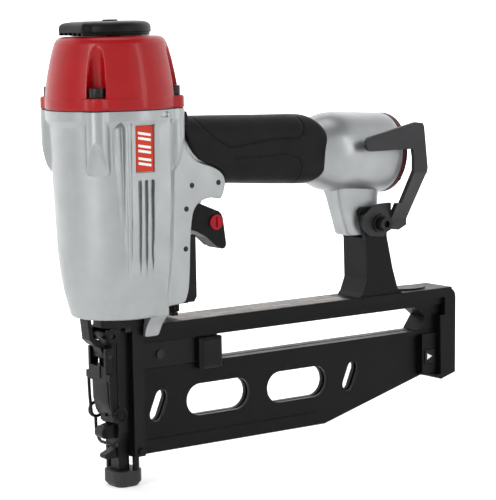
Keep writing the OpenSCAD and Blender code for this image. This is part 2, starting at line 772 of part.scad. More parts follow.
module nose_body() {
    h = hinge_at[1];
    color("#202020") difference() {
        union() {
            // flange under the barrel
            translate([0, 0, rail_top]) linear_extrude(barrel_z - 0.1 - rail_top) polygon([[-15, -5],
                [-8.5, -13.9], [13.4, -13.9], [13.4, 13.9], [-8.5, 13.9], [-15, 5]]);
            box([10, 23], [-rail_w / 2 + 0.1, rail_w / 2 - 0.1], [rail_top + 0.1, barrel_z - 0.1]);
            // column with the driver way, between its two side rails
            box([door_x + 0.1, 3.6], [-8, 8], [channel_z + 18, rail_top + 1]);
            for (s = [-1, 1]) box([3, 11], s > 0 ? [rail_in, nose_half] : [-nose_half, -rail_in],
                [channel_z + 1, rail_top + 1]);
            // bosses that the door's hinge pin sits in
            for (s = [-1, 1]) plate([[-14, h + 4], [-14, h - 3.4], [-9, h - 4.4],
                [door_x + 1, h - 4.4], [door_x + 1, rail_top + 1],
                [-10, rail_top + 1]], s > 0 ? [8.1, 11.6] : [-11.6, -8.1]);
            // tapered tip
            hull() {
                box([door_x, 3.4], [-7.6, 7.6], [channel_z + 17, channel_z + 19]);
                box([-4.6, 3.4], [-4.6, 4.6], [tip_z + 15, tip_z + 15.5]);
            }
            box([-4.6, 3.4], [-4.6, 4.6], [tip_z, tip_z + 15.2]);
            // lug over the spring's bar, and the pointed guard under it
            plate(concat(arc([-12.4, channel_z + 17.6], 4.1, 90, 235, 7), [[-11.4, channel_z + 13.8],
                [door_x + 1.5, channel_z + 13.4], [door_x + 1.5, channel_z + 23.5]]), [-4.4, 4.4]);
            plate([[-13.9, channel_z + 1.8], [-13.3, channel_z + 3.5], [-8.5, channel_z + 5.5],
                [-3, channel_z + 8.5], [-3, channel_z + 0.5], [-12.6, channel_z + 0.4]], [-3.4, 3.4]);
            bar_y([8.4, channel_z + 4], 2.6, [-nose_half - 1.4, -nose_half + 0.6]);
        }
        box([-blade_x / 2 - 0.3, blade_x / 2 + 0.3], [-blade_y / 2 - 0.3, blade_y / 2 + 0.3],
            [tip_z - 1, rail_top + 2]);
        box([0, 12], [-nail_slot / 2, nail_slot / 2], [channel_z + 5, channel_top]);
        translate([0, 0, rail_top - 1]) cylinder(r = 7, h = 10);
        bar_y(hinge_at, 1.6, [-20, 20]);
        for (s = [-1, 1]) translate([rod_at[0], s * rod_at[1], channel_z - 4])
            cylinder(r = rod_r + 0.08, h = rod_top + contact_travel - channel_z + 5);
        for (at = nose_bolt_places()) translate([at[0], at[1], rail_top - 1])
            cylinder(r = nose_bolt_r + 0.1, h = 9);
        for (at = front_bolts()) translate([at[0], at[1], rail_top - 3.2]) cylinder(r = 2.8, h = 3.2);
    }
}

// Two short bolts hold the nose to the barrel, and two long ones hold the magazine too
module nose_bolts() {
    head_h = 3;
    color("black") for (at = nose_bolt_places()) {
        z = at[0] > 10 ? rail_z + 3.3 : rail_top;
        translate([at[0], at[1], z]) rotate([180, 0, 0]) difference() {
            union() {
                cylinder(r = at[0] > 10 ? 2.5 : 2.7, h = head_h);
                translate([0, 0, z - barrel_z - 6]) cylinder(r = nose_bolt_r, h = barrel_z + 6 - z);
            }
            translate([0, 0, head_h - 1.6]) cylinder(r = 1.5, h = 3, $fn = 6);
        }
    }
}

// Front cover of the driver way; swings on the hinge at its top
module nose_door() {
    x = [door_x - door_t, door_x];
    color("#262626") difference() {
        union() {
            box(x, [-7.6, 7.6], [channel_z + 24.5, hinge_at[1] - 1]);
            bar_y(hinge_at, 2.8, [-7.8, 7.8]);
            box([hinge_at[0], door_x - 0.8], [-7.6, 7.6], [hinge_at[1] - 2, hinge_at[1] + 2]);
            box([x[0] - 2, x[0] + 1], [-1.6, 1.6], [channel_z + 28, lever_at[1] - 8]);
        }
        bar_y(hinge_at, 1.6, [-20, 20]);
    }
}

module door_pins() {
    color("gray") for (at = [hinge_at, lever_at]) bar_y(at, 1.5, [-10.3, 10.3]);
}

// Ribbed block on the door that carries the latch
module latch_cover() {
    z = lever_at[1];
    x = door_x - door_t;
    color("#1f1f1f") difference() {
        union() {
            box([x - 6.2, x - 0.05], [-cover_half, cover_half], [z - 16, z + 5.5]);
            box([x - 6.9, x - 6.1], [-4, 4], [z - 14, z - 4]);
            for (s = [-1, 1]) box([x - 6, x - 3.2], s > 0 ? [cover_half - 1.5, coil_y - 0.4]
                : [-coil_y + 0.4, -cover_half + 1.5], [z - 15.4, z - 10.6]);
        }
        box([x - 2.5, x + 1], [-1.9, 1.9], [z - 20, z - 6]);
        bar_y([lever_at[0], lever_at[1]], 1.6, [-20, 20]);
        box([x - 8, x + 1], [-8.2, 8.2], [z - 6.2, z + 6]);
    }
}

// Thumb tab on its short curved arm
module latch_lever() {
    z = lever_at[1];
    color("#242424") difference() {
        union() {
            plate([[-14.2, z + 0.6], [-10.8, z + 0.6], [-12.2, z + 6], [-16.4, z + 10.6], [-20.6, z + 12],
                   [-22.3, z + 24], [-25, z + 24.2], [-23.6, z + 11], [-20.6, z + 8], [-16.2, z + 5.4]],
                  [-4.6, 4.6]);
            bar_y(lever_at, 2.2, [-7.9, 7.9]);
            box([-14.2, -10.8], [-7.9, 7.9], [z, z + 2.6]);
        }
        bar_y(lever_at, 1.6, [-20, 20]);
    }
}

// Sprung wire: two coils at the sides, upper legs in the cover, one bar under the lug
module latch_spring() {
    wire = 1.05;
    loop_r = 4.6;
    bar_x = -10.6;
    bar_z = channel_z + 10.4;
    top_z = lever_at[1] - 15.5;
    steps = 20;
    function side(s) = concat(
        [[coil_at[0] - loop_r - 1.2, s * (coil_y - 1.4), top_z],
         [coil_at[0] - loop_r - 0.8, s * (coil_y - 1.4), coil_at[1] + 10]],
        [for (i = [0:steps]) let (a = 180 + 450 * i / steps)
            [coil_at[0] + loop_r * cos(a), s * (coil_y - 1.3 + 2.4 * i / steps),
             coil_at[1] + loop_r * sin(a)]],
        [[bar_x + 1.4, s * (coil_y - 0.2), bar_z + 5]]);
    left = side(1);
    right = side(-1);
    color("#3a3a3a") tube(concat(left, [[bar_x + 0.3, 9, bar_z + 1], [bar_x, 6.5, bar_z], [bar_x, 0, bar_z],
        [bar_x, -6.5, bar_z], [bar_x + 0.3, -9, bar_z + 1]], [for (i = [len(right) - 1:-1:0]) right[i]]),
        wire, [0.31, 0.17, 0.93], 8);
}

// ---- Magazine ----

hole_r = 10.6;
hole_z = channel_z + 30.3;
slot_len = 30;
slant = [2.2, 5.2];
slant_r = 5.2;
module channel_holes(y) {
    for (x = [27.4, 185.4]) {
        n = slant_r * [slant[1], -slant[0]] / norm(slant);
        at = [x, hole_z];
        for (s = [-1, 1]) bar_y(at + s * slant, slant_r, y);
        plate([at - slant - n, at - slant + n, at + slant + n, at + slant - n], y);
    }
    for (x = [59.3, 124.3]) {
        for (dx = [0, slot_len]) bar_y([x + dx, hole_z], hole_r, y);
        box([x, x + slot_len], y, [hole_z - hole_r, hole_z + hole_r]);
    }
}

end_x = mag_len - 10;
// U-shaped channel that holds the nails upright, open along its top
module nail_channel() {
    half = channel_t / 2;
    back = mag_len - 14.6;
    block = [back - 13.5, back];
    color("#242428") difference() {
        union() {
            plate([[3.7, channel_z + 1.2], [5, channel_z], [mag_len - 112, channel_z],
                [back - 8, channel_z + 24.2], [back, channel_z + 24.2], [back, channel_top],
                [3.7, channel_top]], [-half, half]);
            box(block, [-block_half, block_half], [channel_z + 24.2, channel_top - 2.6]);
            // ledge along the top edge, and a low ridge near the lower edge
            box([11.2, back], [-half - 3.4, half + 3.4], [channel_top - 2.6, channel_top]);
            plate([[11.2, channel_top - 2.5], [back, channel_top - 2.5], [back, channel_top - 5],
                [11.2, channel_top - 5]], [-half - 1.2, half + 1.2]);
            box([11.2, mag_len - 118], [-half - 0.6, half + 0.6], [channel_z + 7.4, channel_z + 9]);
        }
        box([0, block[0] - 2], [-nail_slot / 2, nail_slot / 2], [channel_z + 5, channel_top + 1]);
        // pocket for the catch button, open on the near side
        box([latch_x[0] - 0.25, latch_x[1] + 0.25], [-block_half - 1, -block_half + 6],
            [latch_z[0] - 0.25, latch_z[1] + 0.25]);
        channel_holes([-20, 20]);
        bar_y([8.4, channel_z + 4], 2.65, [-20, 20]);
        for (z = channel_screw_z) bar_x([0, z], 2.05, [back - 12, back + 1]);
    }
}
block_half = 9.6;
channel_screw_z = [channel_z + 30, channel_top - 7];
latch_x = [mag_len - 26, mag_len - 17];
latch_z = [channel_z + 32, channel_z + 42];
latch_press = 1.5;

module channel_screws() {
    color("black") for (z = channel_screw_z) difference() {
        union() {
            bar_x([0, z], 2, [mag_len - 25.5, mag_len - 2]);
            bar_x([0, z], 3.6, [mag_len - 3.2, mag_len - 0.4]);
        }
        translate([mag_len - 2.4, 0, z]) rotate([0, 90, 0]) cylinder(r = 1.7, h = 4, $fn = 6);
    }
}

// Top rail, arm up to the handle and block at the end, in one casting
module magazine_frame() {
    half = rail_w / 2;
    x = arm_x;
    y = leg_t / 2 + cheek_gap;
    b = arm_bolt_at;
    color("#232326") difference() {
        union() {
            box([14.2, mag_len - 4], [-half, half], [rail_z + 5.2, rail_top]);
            box([11.3, mag_len - 6], [-half + 3.4, half - 3.4], [rail_z, rail_z + 5.3]);
            // arm: column, two cheeks over the leg
            plate([[x - 5, rail_top - 1], [x - 1.6, rail_top + 3], [x + 2, rail_top + 12], [x + 1.6, b[1] - 10],
                [b[0] + 8.6, b[1] - 10], [x + 25, rail_top + 18], [x + 29.6, rail_top + 3],
                [x + 35, rail_top - 1]], [-y - cheek_t, y + cheek_t]);
            for (s = [-1, 1]) plate([[x + 1.6, b[1] - 11], [x - 4, b[1] + 9], [x - 1, b[1] + 11.5],
                [x + 9, b[1] + 12], [b[0] + 8.6, b[1] + 6], [b[0] + 8.6, b[1] - 11]],
                s > 0 ? [y, y + cheek_t] : [-y - cheek_t, -y]);
            // end bar, with its rounded top corner and the lip under the channel
            plate(concat(arc([mag_len - 7, rail_top - 7.5], 7, 90, 0, 7), [[mag_len - 0.8, channel_z + 24],
                [mag_len - 14, channel_z + 20.2], [mag_len - 19, channel_z + 22], [mag_len - 19, channel_z + 23.8],
                [mag_len - 14.3, channel_z + 23.8], [mag_len - 14.3, channel_top + 10], [end_x, channel_top + 10],
                [end_x, rail_top - 1], [mag_len - 20, rail_top - 0.5]]), [-half + 0.6, half - 0.6]);
            // inner stop behind the window
            plate([[mag_len - 33, rail_z + 1], [mag_len - 33, rail_z - 0.6], [mag_len - 24, channel_top + 9.6],
                [mag_len - 31, channel_top + 0.3], [end_x + 1, channel_top + 0.3], [end_x + 1, rail_z + 1]], [-8, 8]);
            // low pad on top, near the end
            translate([mag_len - 32, 0, rail_top - 8]) scale([1.5, 1, 1]) cylinder(r = 9, h = 9.2, $fn = 48);
        }
        // screws into the channel, and the gap between the cheeks
        for (z = channel_screw_z) {
            bar_x([0, z], 2.1, [mag_len - 20, mag_len + 1]);
            bar_x([0, z], 3.7, [mag_len - 3.3, mag_len + 1]);
        }
        plate([[x - 9, b[1] - 9.8], [x + 30, b[1] - 9.8], [x + 30, b[1] + 20], [x - 9, b[1] + 20]], [-y, y]);
        bar_y(b, 3.1, [-30, 30]);
        for (at = rear_bolts()) translate([at[0], at[1], rail_z - 1]) {
            cylinder(r = nose_bolt_r + 0.1, h = rail_h + 2);
            cylinder(r = 2.6, h = 4.4);
        }
        // long groove under the rail, the guide slot of the pusher
        box([16, mag_len - 34], [-5, 5], [rail_z - 1, rail_z + 9]);
    }
}

// Square button on the near side of the channel's end
module magazine_latch() {
    color("#101010") difference() {
        box(latch_x, [-block_half - 0.6, -block_half + 6 - latch_press - 0.4], latch_z);
        plate([[latch_x[0] + 2, latch_z[0] + 2.4], [latch_x[1] - 1.6, (latch_z[0] + latch_z[1]) / 2],
            [latch_x[0] + 2, latch_z[1] - 2.4]], [-block_half - 2, -block_half - 0.2]);
    }
}

// Thin strip along the top of the rail
module rail_label() {
    color("gray") box([78, arm_x - 12], [-rail_w / 2 + 5, rail_w / 2 - 5], [rail_top + 0.02, rail_top + 0.3]);
}

// Follower: hollow block over the channel with a tongue in the nail slot
pusher_x = [13.4, 54];
pusher_travel = mag_len - 33 - 72.5;
module pusher() {
    z = [channel_top + 0.3, rail_z - 0.4];
    color("#1b1b1b") difference() {
        union() {
            box([pusher_x[0], 71], [-8.6, 8.6], z);
            box([22, 68], [-4.7, 4.7], [rail_z - 1, rail_z + 7.6]);
            box([6, 14], [-nail_slot / 2 + 0.15, nail_slot / 2 - 0.15], [channel_z + 6, channel_top + 4]);
            box([pusher_x[0] - 1, 40], [-nail_slot / 2 + 0.15, nail_slot / 2 - 0.15], [channel_top - 8, channel_top + 1]);
        }
        bar_y([26, (z[0] + z[1]) / 2], (z[1] - z[0]) / 2 - 1.1, [-5.4, 5.4]);
        bar_y([26, (z[0] + z[1]) / 2], 1.6, [-20, 20]);
        box([10, 26], [-3.4, 3.4], [z[0] + 2.6, z[0] + 5]);
    }
}

module pusher_knob() {
    z = [channel_top - 4.4, rail_z - 1];
    color("#2a2a2a") for (s = [-1, 1]) difference() {
        hull() {
            plate([[54, z[0] + 1], [56, z[0]], [72, z[0]], [72, z[1]], [54, z[1]]],
                s > 0 ? [8.7, 12.4] : [-12.4, -8.7]);
            plate([[57, z[0] + 2], [70, z[0] + 2], [70, z[1] - 2], [57, z[1] - 2]],
                s > 0 ? [8.7, 14] : [-14, -8.7]);
        }
    }
}

// Constant-force spring, wound on its drum in the follower
module pusher_coil() {
    z = (channel_top + 0.3 + rail_z - 0.4) / 2;
    color("lightslategray") difference() {
        bar_y([26, z], (rail_z - channel_top - 0.7) / 2 - 1.7, [-5, 5]);
        bar_y([26, z], 1.65, [-20, 20]);
    }
}

module pusher_rivet() {
    z = (channel_top + 0.3 + rail_z - 0.4) / 2;
    color("gray") {
        bar_y([26, z], 1.5, [-8.6, 8.6]);
        for (y = [[-9.6, -8.6], [8.6, 9.6]]) bar_y([26, z], 3, y);
    }
}

module arm_bolt() {
    y = hook_in + hook_t + 1.7;
    color("#1a1a1a") translate([arm_bolt_at[0], -y, arm_bolt_at[1]]) rotate([90, 0, 0])
        socket_screw(3, 4.9, 6, y + hook_in - 0.2);
}

module arm_nut() {
    color("#333333") difference() {
        translate([arm_bolt_at[0], hook_in - 0.3, arm_bolt_at[1]]) rotate([-90, 0, 0])
            cylinder(r = 5.7, h = 5, $fn = 6);
        bar_y(arm_bolt_at, 3.02, [0, 30]);
    }
}

module hook_washer() {
    y = hook_in + hook_t + 0.1;
    color("#2c2c2c") difference() {
        bar_y(arm_bolt_at, 6.4, [-y - 1.6, -y]);
        bar_y(arm_bolt_at, 3.1, [-40, 0]);
    }
}

// A strip's side profile in the YZ plane, drawn out along X
module strip_along_x(points, x) {
    translate([x[0], 0, 0]) rotate([90, 0, 90]) linear_extrude(x[1] - x[0]) polygon(points);
}

// Bent plate: flat base at the bolt, a strap that bends outwards as it rises, and the finger
module belt_hook() {
    b = arm_bolt_at;
    x = handle_len;
    z = handle_z;
    low_bend = b[1] + 3.4;
    high_bend = z - 27;
    color("#2e2e31") difference() {
        union() {
            plate([[b[0] - 15, b[1] - 1], [b[0] - 14.4, b[1] + 6.4], [b[0] - 6, b[1] + 11.4],
                [b[0] + 1, b[1] + 13.4], [x - 2.6, b[1] + 13.6], [x - 2.6, b[1] - 4.8], [b[0] + 7, b[1] - 6],
                [b[0] + 3, b[1] - 9.4], [b[0] - 9, b[1] - 8]], [-hook_in - hook_t, -hook_in]);
            intersection() {
                plate(concat([[x - 2.7, b[1] - 4.8], [x + 4.1, b[1] - 5.8], [x + 11, b[1] - 2.7],
                    [x + 12.6, z - 30], [x + 13.7, z - 24], [x + 10.8, z + 4], [x + 9.6, z + 6.5],
                    [x + 3.2, z + 7.4]], arc([x - 34.8, z - 5.5], 5, 100, 260, 8),
                    [[x + 0.7, z - 10.6], [x + 1.6, z - 16], [x + 1.1, b[1] + 13.6], [x - 2.7, b[1] + 13.6]]),
                    [-hook_out - 1, -hook_in + 1]);
                strip_along_x([[-hook_in, z - 100], [-hook_in, low_bend], [-hook_out + hook_t, high_bend + 1.4],
                    [-hook_out + hook_t, z + 20], [-hook_out, z + 20], [-hook_out, high_bend],
                    [-hook_in - hook_t, low_bend - 1.6], [-hook_in - hook_t, z - 100]], [x - 60, x + 30]);
            }
        }
        bar_y(b, 3.1, [-60, 0]);
    }
}

frame();
cylinder_cap();
cap_gasket();
cap_screws();
exhaust_deflector();
deflector_screw();
cylinder_sleeve();
sleeve_ring();
bumper();
piston();
piston_ring();
driver_blade();
head_valve();
head_valve_seal();
head_valve_spring();
grip();
end_gasket();
end_cap();
end_cap_screws();
air_bush();
inlet_screen();
trigger();
trigger_pin();
contact_lever();
lever_pin();
mode_dial();
valve_body();
valve_stem();
valve_spring();
link_guide();
guide_pin();
nose_body();
nose_bolts();
nose_door();
door_pins();
latch_cover();
latch_lever();
latch_spring();
contact_foot();
guide_rods();
contact_rod();
contact_link();
depth_wheel();
upper_link();
depth_spindle();
contact_spring();
magazine_frame();
nail_channel();
channel_screws();
pusher();
pusher_knob();
pusher_coil();
pusher_rivet();
magazine_latch();
rail_label();
arm_bolt();
arm_nut();
belt_hook();
hook_washer();
side_badge();
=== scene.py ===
"""Pneumatic finish nailer: finishes, shaped pieces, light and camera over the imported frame."""
import json
import logging
import math
from dataclasses import dataclass, field
from enum import Enum
from typing import Callable, Sequence

import bpy
import numpy as np
from mathutils import Matrix, Vector

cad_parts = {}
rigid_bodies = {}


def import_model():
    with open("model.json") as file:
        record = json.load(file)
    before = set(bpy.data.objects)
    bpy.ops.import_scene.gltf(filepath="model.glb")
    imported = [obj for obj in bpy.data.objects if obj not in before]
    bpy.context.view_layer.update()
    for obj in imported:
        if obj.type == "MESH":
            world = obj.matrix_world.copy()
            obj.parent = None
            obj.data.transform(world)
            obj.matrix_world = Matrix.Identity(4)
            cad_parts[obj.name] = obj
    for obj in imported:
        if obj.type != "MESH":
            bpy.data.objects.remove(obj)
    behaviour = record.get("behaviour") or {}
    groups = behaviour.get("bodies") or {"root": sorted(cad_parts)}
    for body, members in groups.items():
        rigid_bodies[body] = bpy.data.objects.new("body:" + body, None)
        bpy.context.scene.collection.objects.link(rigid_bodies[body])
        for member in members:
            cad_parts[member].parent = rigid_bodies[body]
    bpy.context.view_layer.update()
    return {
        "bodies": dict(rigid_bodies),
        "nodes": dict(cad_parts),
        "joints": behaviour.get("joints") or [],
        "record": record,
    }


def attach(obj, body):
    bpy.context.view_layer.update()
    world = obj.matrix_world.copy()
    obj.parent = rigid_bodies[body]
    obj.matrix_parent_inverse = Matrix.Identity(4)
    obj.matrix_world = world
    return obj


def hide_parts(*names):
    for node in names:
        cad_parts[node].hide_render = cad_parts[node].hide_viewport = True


MM = 0.001  # the numbers below are millimetres, Blender's are metres
LOG = logging.getLogger("nailer")
Points = Sequence[Sequence[float]]
Span = tuple[float, float]
SIDES = {-1: "near", 1: "far"}


# ---- colour and node helpers ----

def linear(code: str, alpha: float = 1.0) -> tuple[float, float, float, float]:
    """Turns an sRGB hex colour into linear light.

    Args:
        code: six hex digits, with or without a leading #.
        alpha: the fourth channel.

    Returns:
        Red, green, blue and alpha, each from 0 to 1.
    """
    code = code.lstrip("#")
    parts = [int(code[i:i + 2], 16) / 255 for i in (0, 2, 4)]
    lin = [c / 12.92 if c <= 0.04045 else ((c + 0.055) / 1.055) ** 2.4 for c in parts]
    return (lin[0], lin[1], lin[2], alpha)


def add_node(tree: bpy.types.NodeTree, kind: str, values: dict | None = None,
             links: dict | None = None, **settings: object) -> bpy.types.Node:
    """Adds one node with its settings, socket values and incoming links.

    Args:
        tree: the node tree.
        kind: the node's type name.
        values: input socket name or index to its constant.
        links: input socket name or index to the output socket that feeds it.
        settings: properties of the node itself.

    Returns:
        The new node.
    """
    node = tree.nodes.new(kind)
    for name, value in settings.items():
        setattr(node, name, value)
    for name, value in (values or {}).items():
        node.inputs[name].default_value = value
    for name, source in (links or {}).items():
        tree.links.new(source, node.inputs[name])
    return node


@dataclass(frozen=True)
class Grain:
    """A surface's fine relief: bump from noise of a given grain width.

    Paint flake, casting skin and moulded texture are finer than this in life, about 0.05 to 0.2 mm. They are
    drawn 0.3 to 1.6 mm wide, as coarse as they need to be to show.
    """
    size_mm: float
    depth: float
    detail: float = 2.0
    distance: float = 0.0002


@dataclass(frozen=True)
class Finish:
    """One finish: two close colours that mottle, a roughness range and a fine grain.

    With patches set, the two colours change block by block instead, in blocks 17 by 6 mm.
    """
    name: str
    base: str
    shade: str
    metallic: float = 0.0
    roughness: tuple[float, float] = (0.4, 0.5)
    grain: Grain = Grain(0.5, 0.05)
    coat: float = 0.0
    coat_roughness: float = 0.1
    specular: float = 0.5
    ior: float = 1.5
    mottle_mm: float = 14.0
    patches: bool = False
    patch_m: tuple[float, float, float] = (0.017, 0.006, 0.0008)  # width, height and gap, in metres

    def build(self) -> bpy.types.Material:
        """Makes the material: mottled colour, varied roughness and bump, on Object coordinates.

        Returns:
            The material.
        """
        material = bpy.data.materials.new(self.name)
        material.use_nodes = True
        tree = material.node_tree
        tree.nodes.clear()
        place = add_node(tree, "ShaderNodeTexCoord").outputs["Object"]
        mottle = add_node(tree, "ShaderNodeTexNoise", {"Scale": 1 / (self.mottle_mm * MM), "Detail": 3.0},
                          {"Vector": place})
        spread = mottle.outputs["Fac"]
        if self.patches:
            tiles = add_node(tree, "ShaderNodeTexBrick",
                             {"Color1": (0, 0, 0, 1), "Color2": (1, 1, 1, 1), "Mortar": (0.1, 0.1, 0.1, 1),
                              "Scale": 1.0, "Mortar Size": self.patch_m[2], "Brick Width": self.patch_m[0],
                              "Row Height": self.patch_m[1]},
                             {"Vector": place})
            spread = tiles.outputs["Color"]
        colour = add_node(tree, "ShaderNodeMix", {6: linear(self.base), 7: linear(self.shade)},
                          {0: spread}, data_type="RGBA")
        rough = add_node(tree, "ShaderNodeMapRange",
                         {"From Min": 0.3, "From Max": 0.7, "To Min": self.roughness[0], "To Max": self.roughness[1]},
                         {"Value": mottle.outputs["Fac"]})
        fine = add_node(tree, "ShaderNodeTexNoise", {"Scale": 1 / (self.grain.size_mm * MM),
                                                     "Detail": self.grain.detail}, {"Vector": place})
        bump = add_node(tree, "ShaderNodeBump", {"Strength": self.grain.depth, "Distance": self.grain.distance},
                        {"Height": fine.outputs["Fac"]})
        shader = add_node(tree, "ShaderNodeBsdfPrincipled",
                          {"Metallic": self.metallic, "IOR": self.ior, "Coat Weight": self.coat,
                           "Coat Roughness": self.coat_roughness, "Specular IOR Level": self.specular},
                          {"Base Color": colour.outputs[2], "Roughness": rough.outputs[0],
                           "Normal": bump.outputs["Normal"]})
        add_node(tree, "ShaderNodeOutputMaterial", None, {"Surface": shader.outputs[0]})
        return material


class Finishes(Enum):
    """Every finish of the tool: base and shade colour, metallic, roughness range, grain, coat."""
    # Cast magnesium under silver paint: fine metal flake gives a soft bright sheen
    SILVER_CASTING = Finish("silver painted casting", "a8aaab", "999c9d", 0.85, (0.34, 0.42), Grain(0.7, 0.18),
                            0.1, 0.3)
    # Die-cast cap in red enamel: deep, glossy, slight orange peel
    RED_ENAMEL = Finish("red enamel", "a0040b", "880308", 0.0, (0.34, 0.42), Grain(1.6, 0.06),
                        0.18, 0.1, specular=0.22)
    # Magazine in black powder coat: satin with a fine tooth
    BLACK_COAT = Finish("black powder coat", "070708", "040405", 0.0, (0.36, 0.46), Grain(0.45, 0.3), specular=0.14)
    # Nose in black phosphated steel: dull, with a faint metallic edge light
    BLACK_STEEL = Finish("black phosphated steel", "080809", "040405", 0.1, (0.34, 0.46), Grain(0.5, 0.3),
                         specular=0.2)
    # Screws and pins in black oxide: a dark oily gleam on machined steel
    BLACK_SCREW = Finish("black oxide screw", "111112", "0a0a0b", 0.4, (0.3, 0.42), Grain(0.4, 0.15))
    # Over-moulded grip: matt with a leathery grain
    GRIP_RUBBER = Finish("moulded grip rubber", "0b0a0a", "070606", 0.0, (0.5, 0.6), Grain(0.6, 0.7), specular=0.16)
    # Moulded rubber seals: matt and even
    SOFT_RUBBER = Finish("moulded rubber", "161616", "101010", 0.0, (0.55, 0.65), Grain(0.6, 0.3))
    # Injection-moulded glass-filled nylon: satin, slightly uneven
    BLACK_NYLON = Finish("moulded black nylon", "090909", "050505", 0.0, (0.36, 0.46), Grain(0.5, 0.3), specular=0.18)
    # Belt hook, grey coat over bent steel plate: soft grey with a low shine
    HOOK_COAT = Finish("grey coated steel plate", "1d1d20", "151518", 0.2, (0.4, 0.5), Grain(0.5, 0.3))
    # Gasket cut from red fibre sheet, between handle and end cap: dark and dry
    RED_GASKET = Finish("dark red gasket", "5d0916", "480711", 0.0, (0.4, 0.5), Grain(0.6, 0.1))
    # Mode dial, moulded in red nylon: even and satin
    RED_DIAL = Finish("red moulded dial", "a0081a", "8a0615", 0.0, (0.4, 0.5), Grain(0.6, 0.1), specular=0.2)
    # Springs, rods and piston in ground steel: bright with tight reflections
    BARE_STEEL = Finish("ground steel", "a9aaad", "98999c", 1.0, (0.25, 0.35), Grain(0.3, 0.1))
    # Cylinder sleeve in hard anodised aluminium: blue-grey and silky
    TURNED_ALLOY = Finish("hard anodised alloy", "9aa0a8", "8b9199", 0.9, (0.3, 0.4), Grain(0.3, 0.1))
    # Bumper in cast urethane: amber and waxy
    URETHANE = Finish("cast urethane", "9b7a45", "866837", 0.0, (0.4, 0.5), Grain(0.8, 0.1))
    # Head valve machined from acetal: off-white and smooth
    ACETAL = Finish("machined acetal", "d8d6d0", "cac8c2", 0.0, (0.35, 0.45), Grain(0.6, 0.1))
    # Inlet screen in sintered brass: grainy and warm
    BRASS_MESH = Finish("sintered brass", "b08a3e", "977432", 1.0, (0.4, 0.5), Grain(0.3, 0.6))
    # Enamelled side badge: flat orange under a thin clear coat
    BADGE = Finish("orange enamel badge", "c2300e", "b02909", 0.0, (0.34, 0.4), Grain(1.0, 0.05),
                   0.1, 0.1, specular=0.25)
    # Screen-printed white marks: chalky and opaque
    WHITE_INK = Finish("white screen ink", "e9e9e6", "dededb", 0.0, (0.45, 0.5), Grain(0.4, 0.05))
    # Foil label on the rail, printed in plain grey and brown blocks: a dull print on thin foil
    LABEL = Finish("printed foil label", "4a3a30", "8d8a86", 0.1, (0.4, 0.5), Grain(0.5, 0.1), patches=True)


_BUILT: dict[Finishes, bpy.types.Material] = {}


def finish(choice: Finishes) -> bpy.types.Material:
    """Gives the material of a finish, built once."""
    if choice not in _BUILT:
        _BUILT[choice] = choice.value.build()
    return _BUILT[choice]


# ---- surface mathematics ----

def smooth_min(a: np.ndarray, b: np.ndarray, k: float) -> np.ndarray:
    """The lesser of two distances, with a fillet: min(a, b) less h squared times k over 4, where h is the
    share of k by which the two come closer to each other than k.

    Args:
        a: one distance.
        b: the other distance.
        k: how far apart the two may be and still blend.

    Returns:
        The blended distance.
    """
    h = np.maximum(k - np.abs(a - b), 0) / k
    return np.minimum(a, b) - h * h * k / 4


def smooth_cut(a: np.ndarray, b: np.ndarray, k: float) -> np.ndarray:
    """The distance to a with b cut out of it, with a fillet."""
    return -smooth_min(-a, b, k)


def disc(x: np.ndarray, y: np.ndarray, at: Span, r: np.ndarray | float) -> np.ndarray:
    """Distance to a circle in a level section."""
    return np.hypot(x - at[0], y - at[1]) - r


def slab(x: np.ndarray, y: np.ndarray, xs: tuple, ys: tuple, corner: float) -> np.ndarray:
    """Distance to a rounded rectangle: that to the rectangle shrunk by the corner's radius, less the radius.

    Args:
        x: first coordinate.
        y: second coordinate.
        xs: the rectangle's limits in x.
        ys: its limits in y.
        corner: radius of its corners.

    Returns:
        The distance, negative inside.
    """
    qx = np.abs(x - (xs[0] + xs[1]) / 2) - (xs[1] - xs[0]) / 2 + corner
    qy = np.abs(y - (ys[0] + ys[1]) / 2) - (ys[1] - ys[0]) / 2 + corner
    return np.hypot(np.maximum(qx, 0), np.maximum(qy, 0)) + np.minimum(np.maximum(qx, qy), 0) - corner


def curve(z: np.ndarray, points: Points) -> np.ndarray:
    """Reads a profile given as (height, value) pairs at the heights z."""
    table = np.asarray(points, float)
    return np.interp(z, table[:, 0], table[:, 1])


def signed_power(v: np.ndarray, power: float) -> np.ndarray:
    """The power of a number's size, with its sign kept."""
    return np.sign(v) * np.abs(v) ** power


def bearings(count: int) -> np.ndarray:
    """Even steps of angle round a full turn, the last one short of the first."""
    return np.linspace(0, 2 * math.pi, count, endpoint=False)


def rounded_line(points: Points, per: int = 6) -> np.ndarray:
    """A closed Catmull-Rom curve through the points, counter-clockwise.

    Each span runs through p1 + (p2 - p0)t/2 + (2p0 - 5p1 + 4p2 - p3)t^2/2 + (3p1 - p0 - 3p2 + p3)t^3/2.

    Args:
        points: the corners; with per set to 1 they stay sharp.
        per: points in each span.

    Returns:
        The points of the curve.
    """
    p = np.asarray(points, float)
    area = np.sum(p[:, 0] * np.roll(p[:, 1], -1) - np.roll(p[:, 0], -1) * p[:, 1])
    if area < 0:
        p = p[::-1]
    t = (np.arange(per) / per)[None, :, None]
    p0, p1, p2, p3 = (np.roll(p, s, axis=0)[:, None] for s in (1, 0, -1, -2))
    out = p1 + (p2 - p0) * t / 2 + (2 * p0 - 5 * p1 + 4 * p2 - p3) * t ** 2 / 2 \
        + (3 * p1 - p0 - 3 * p2 + p3) * t ** 3 / 2
    return out.reshape(-1, 2)


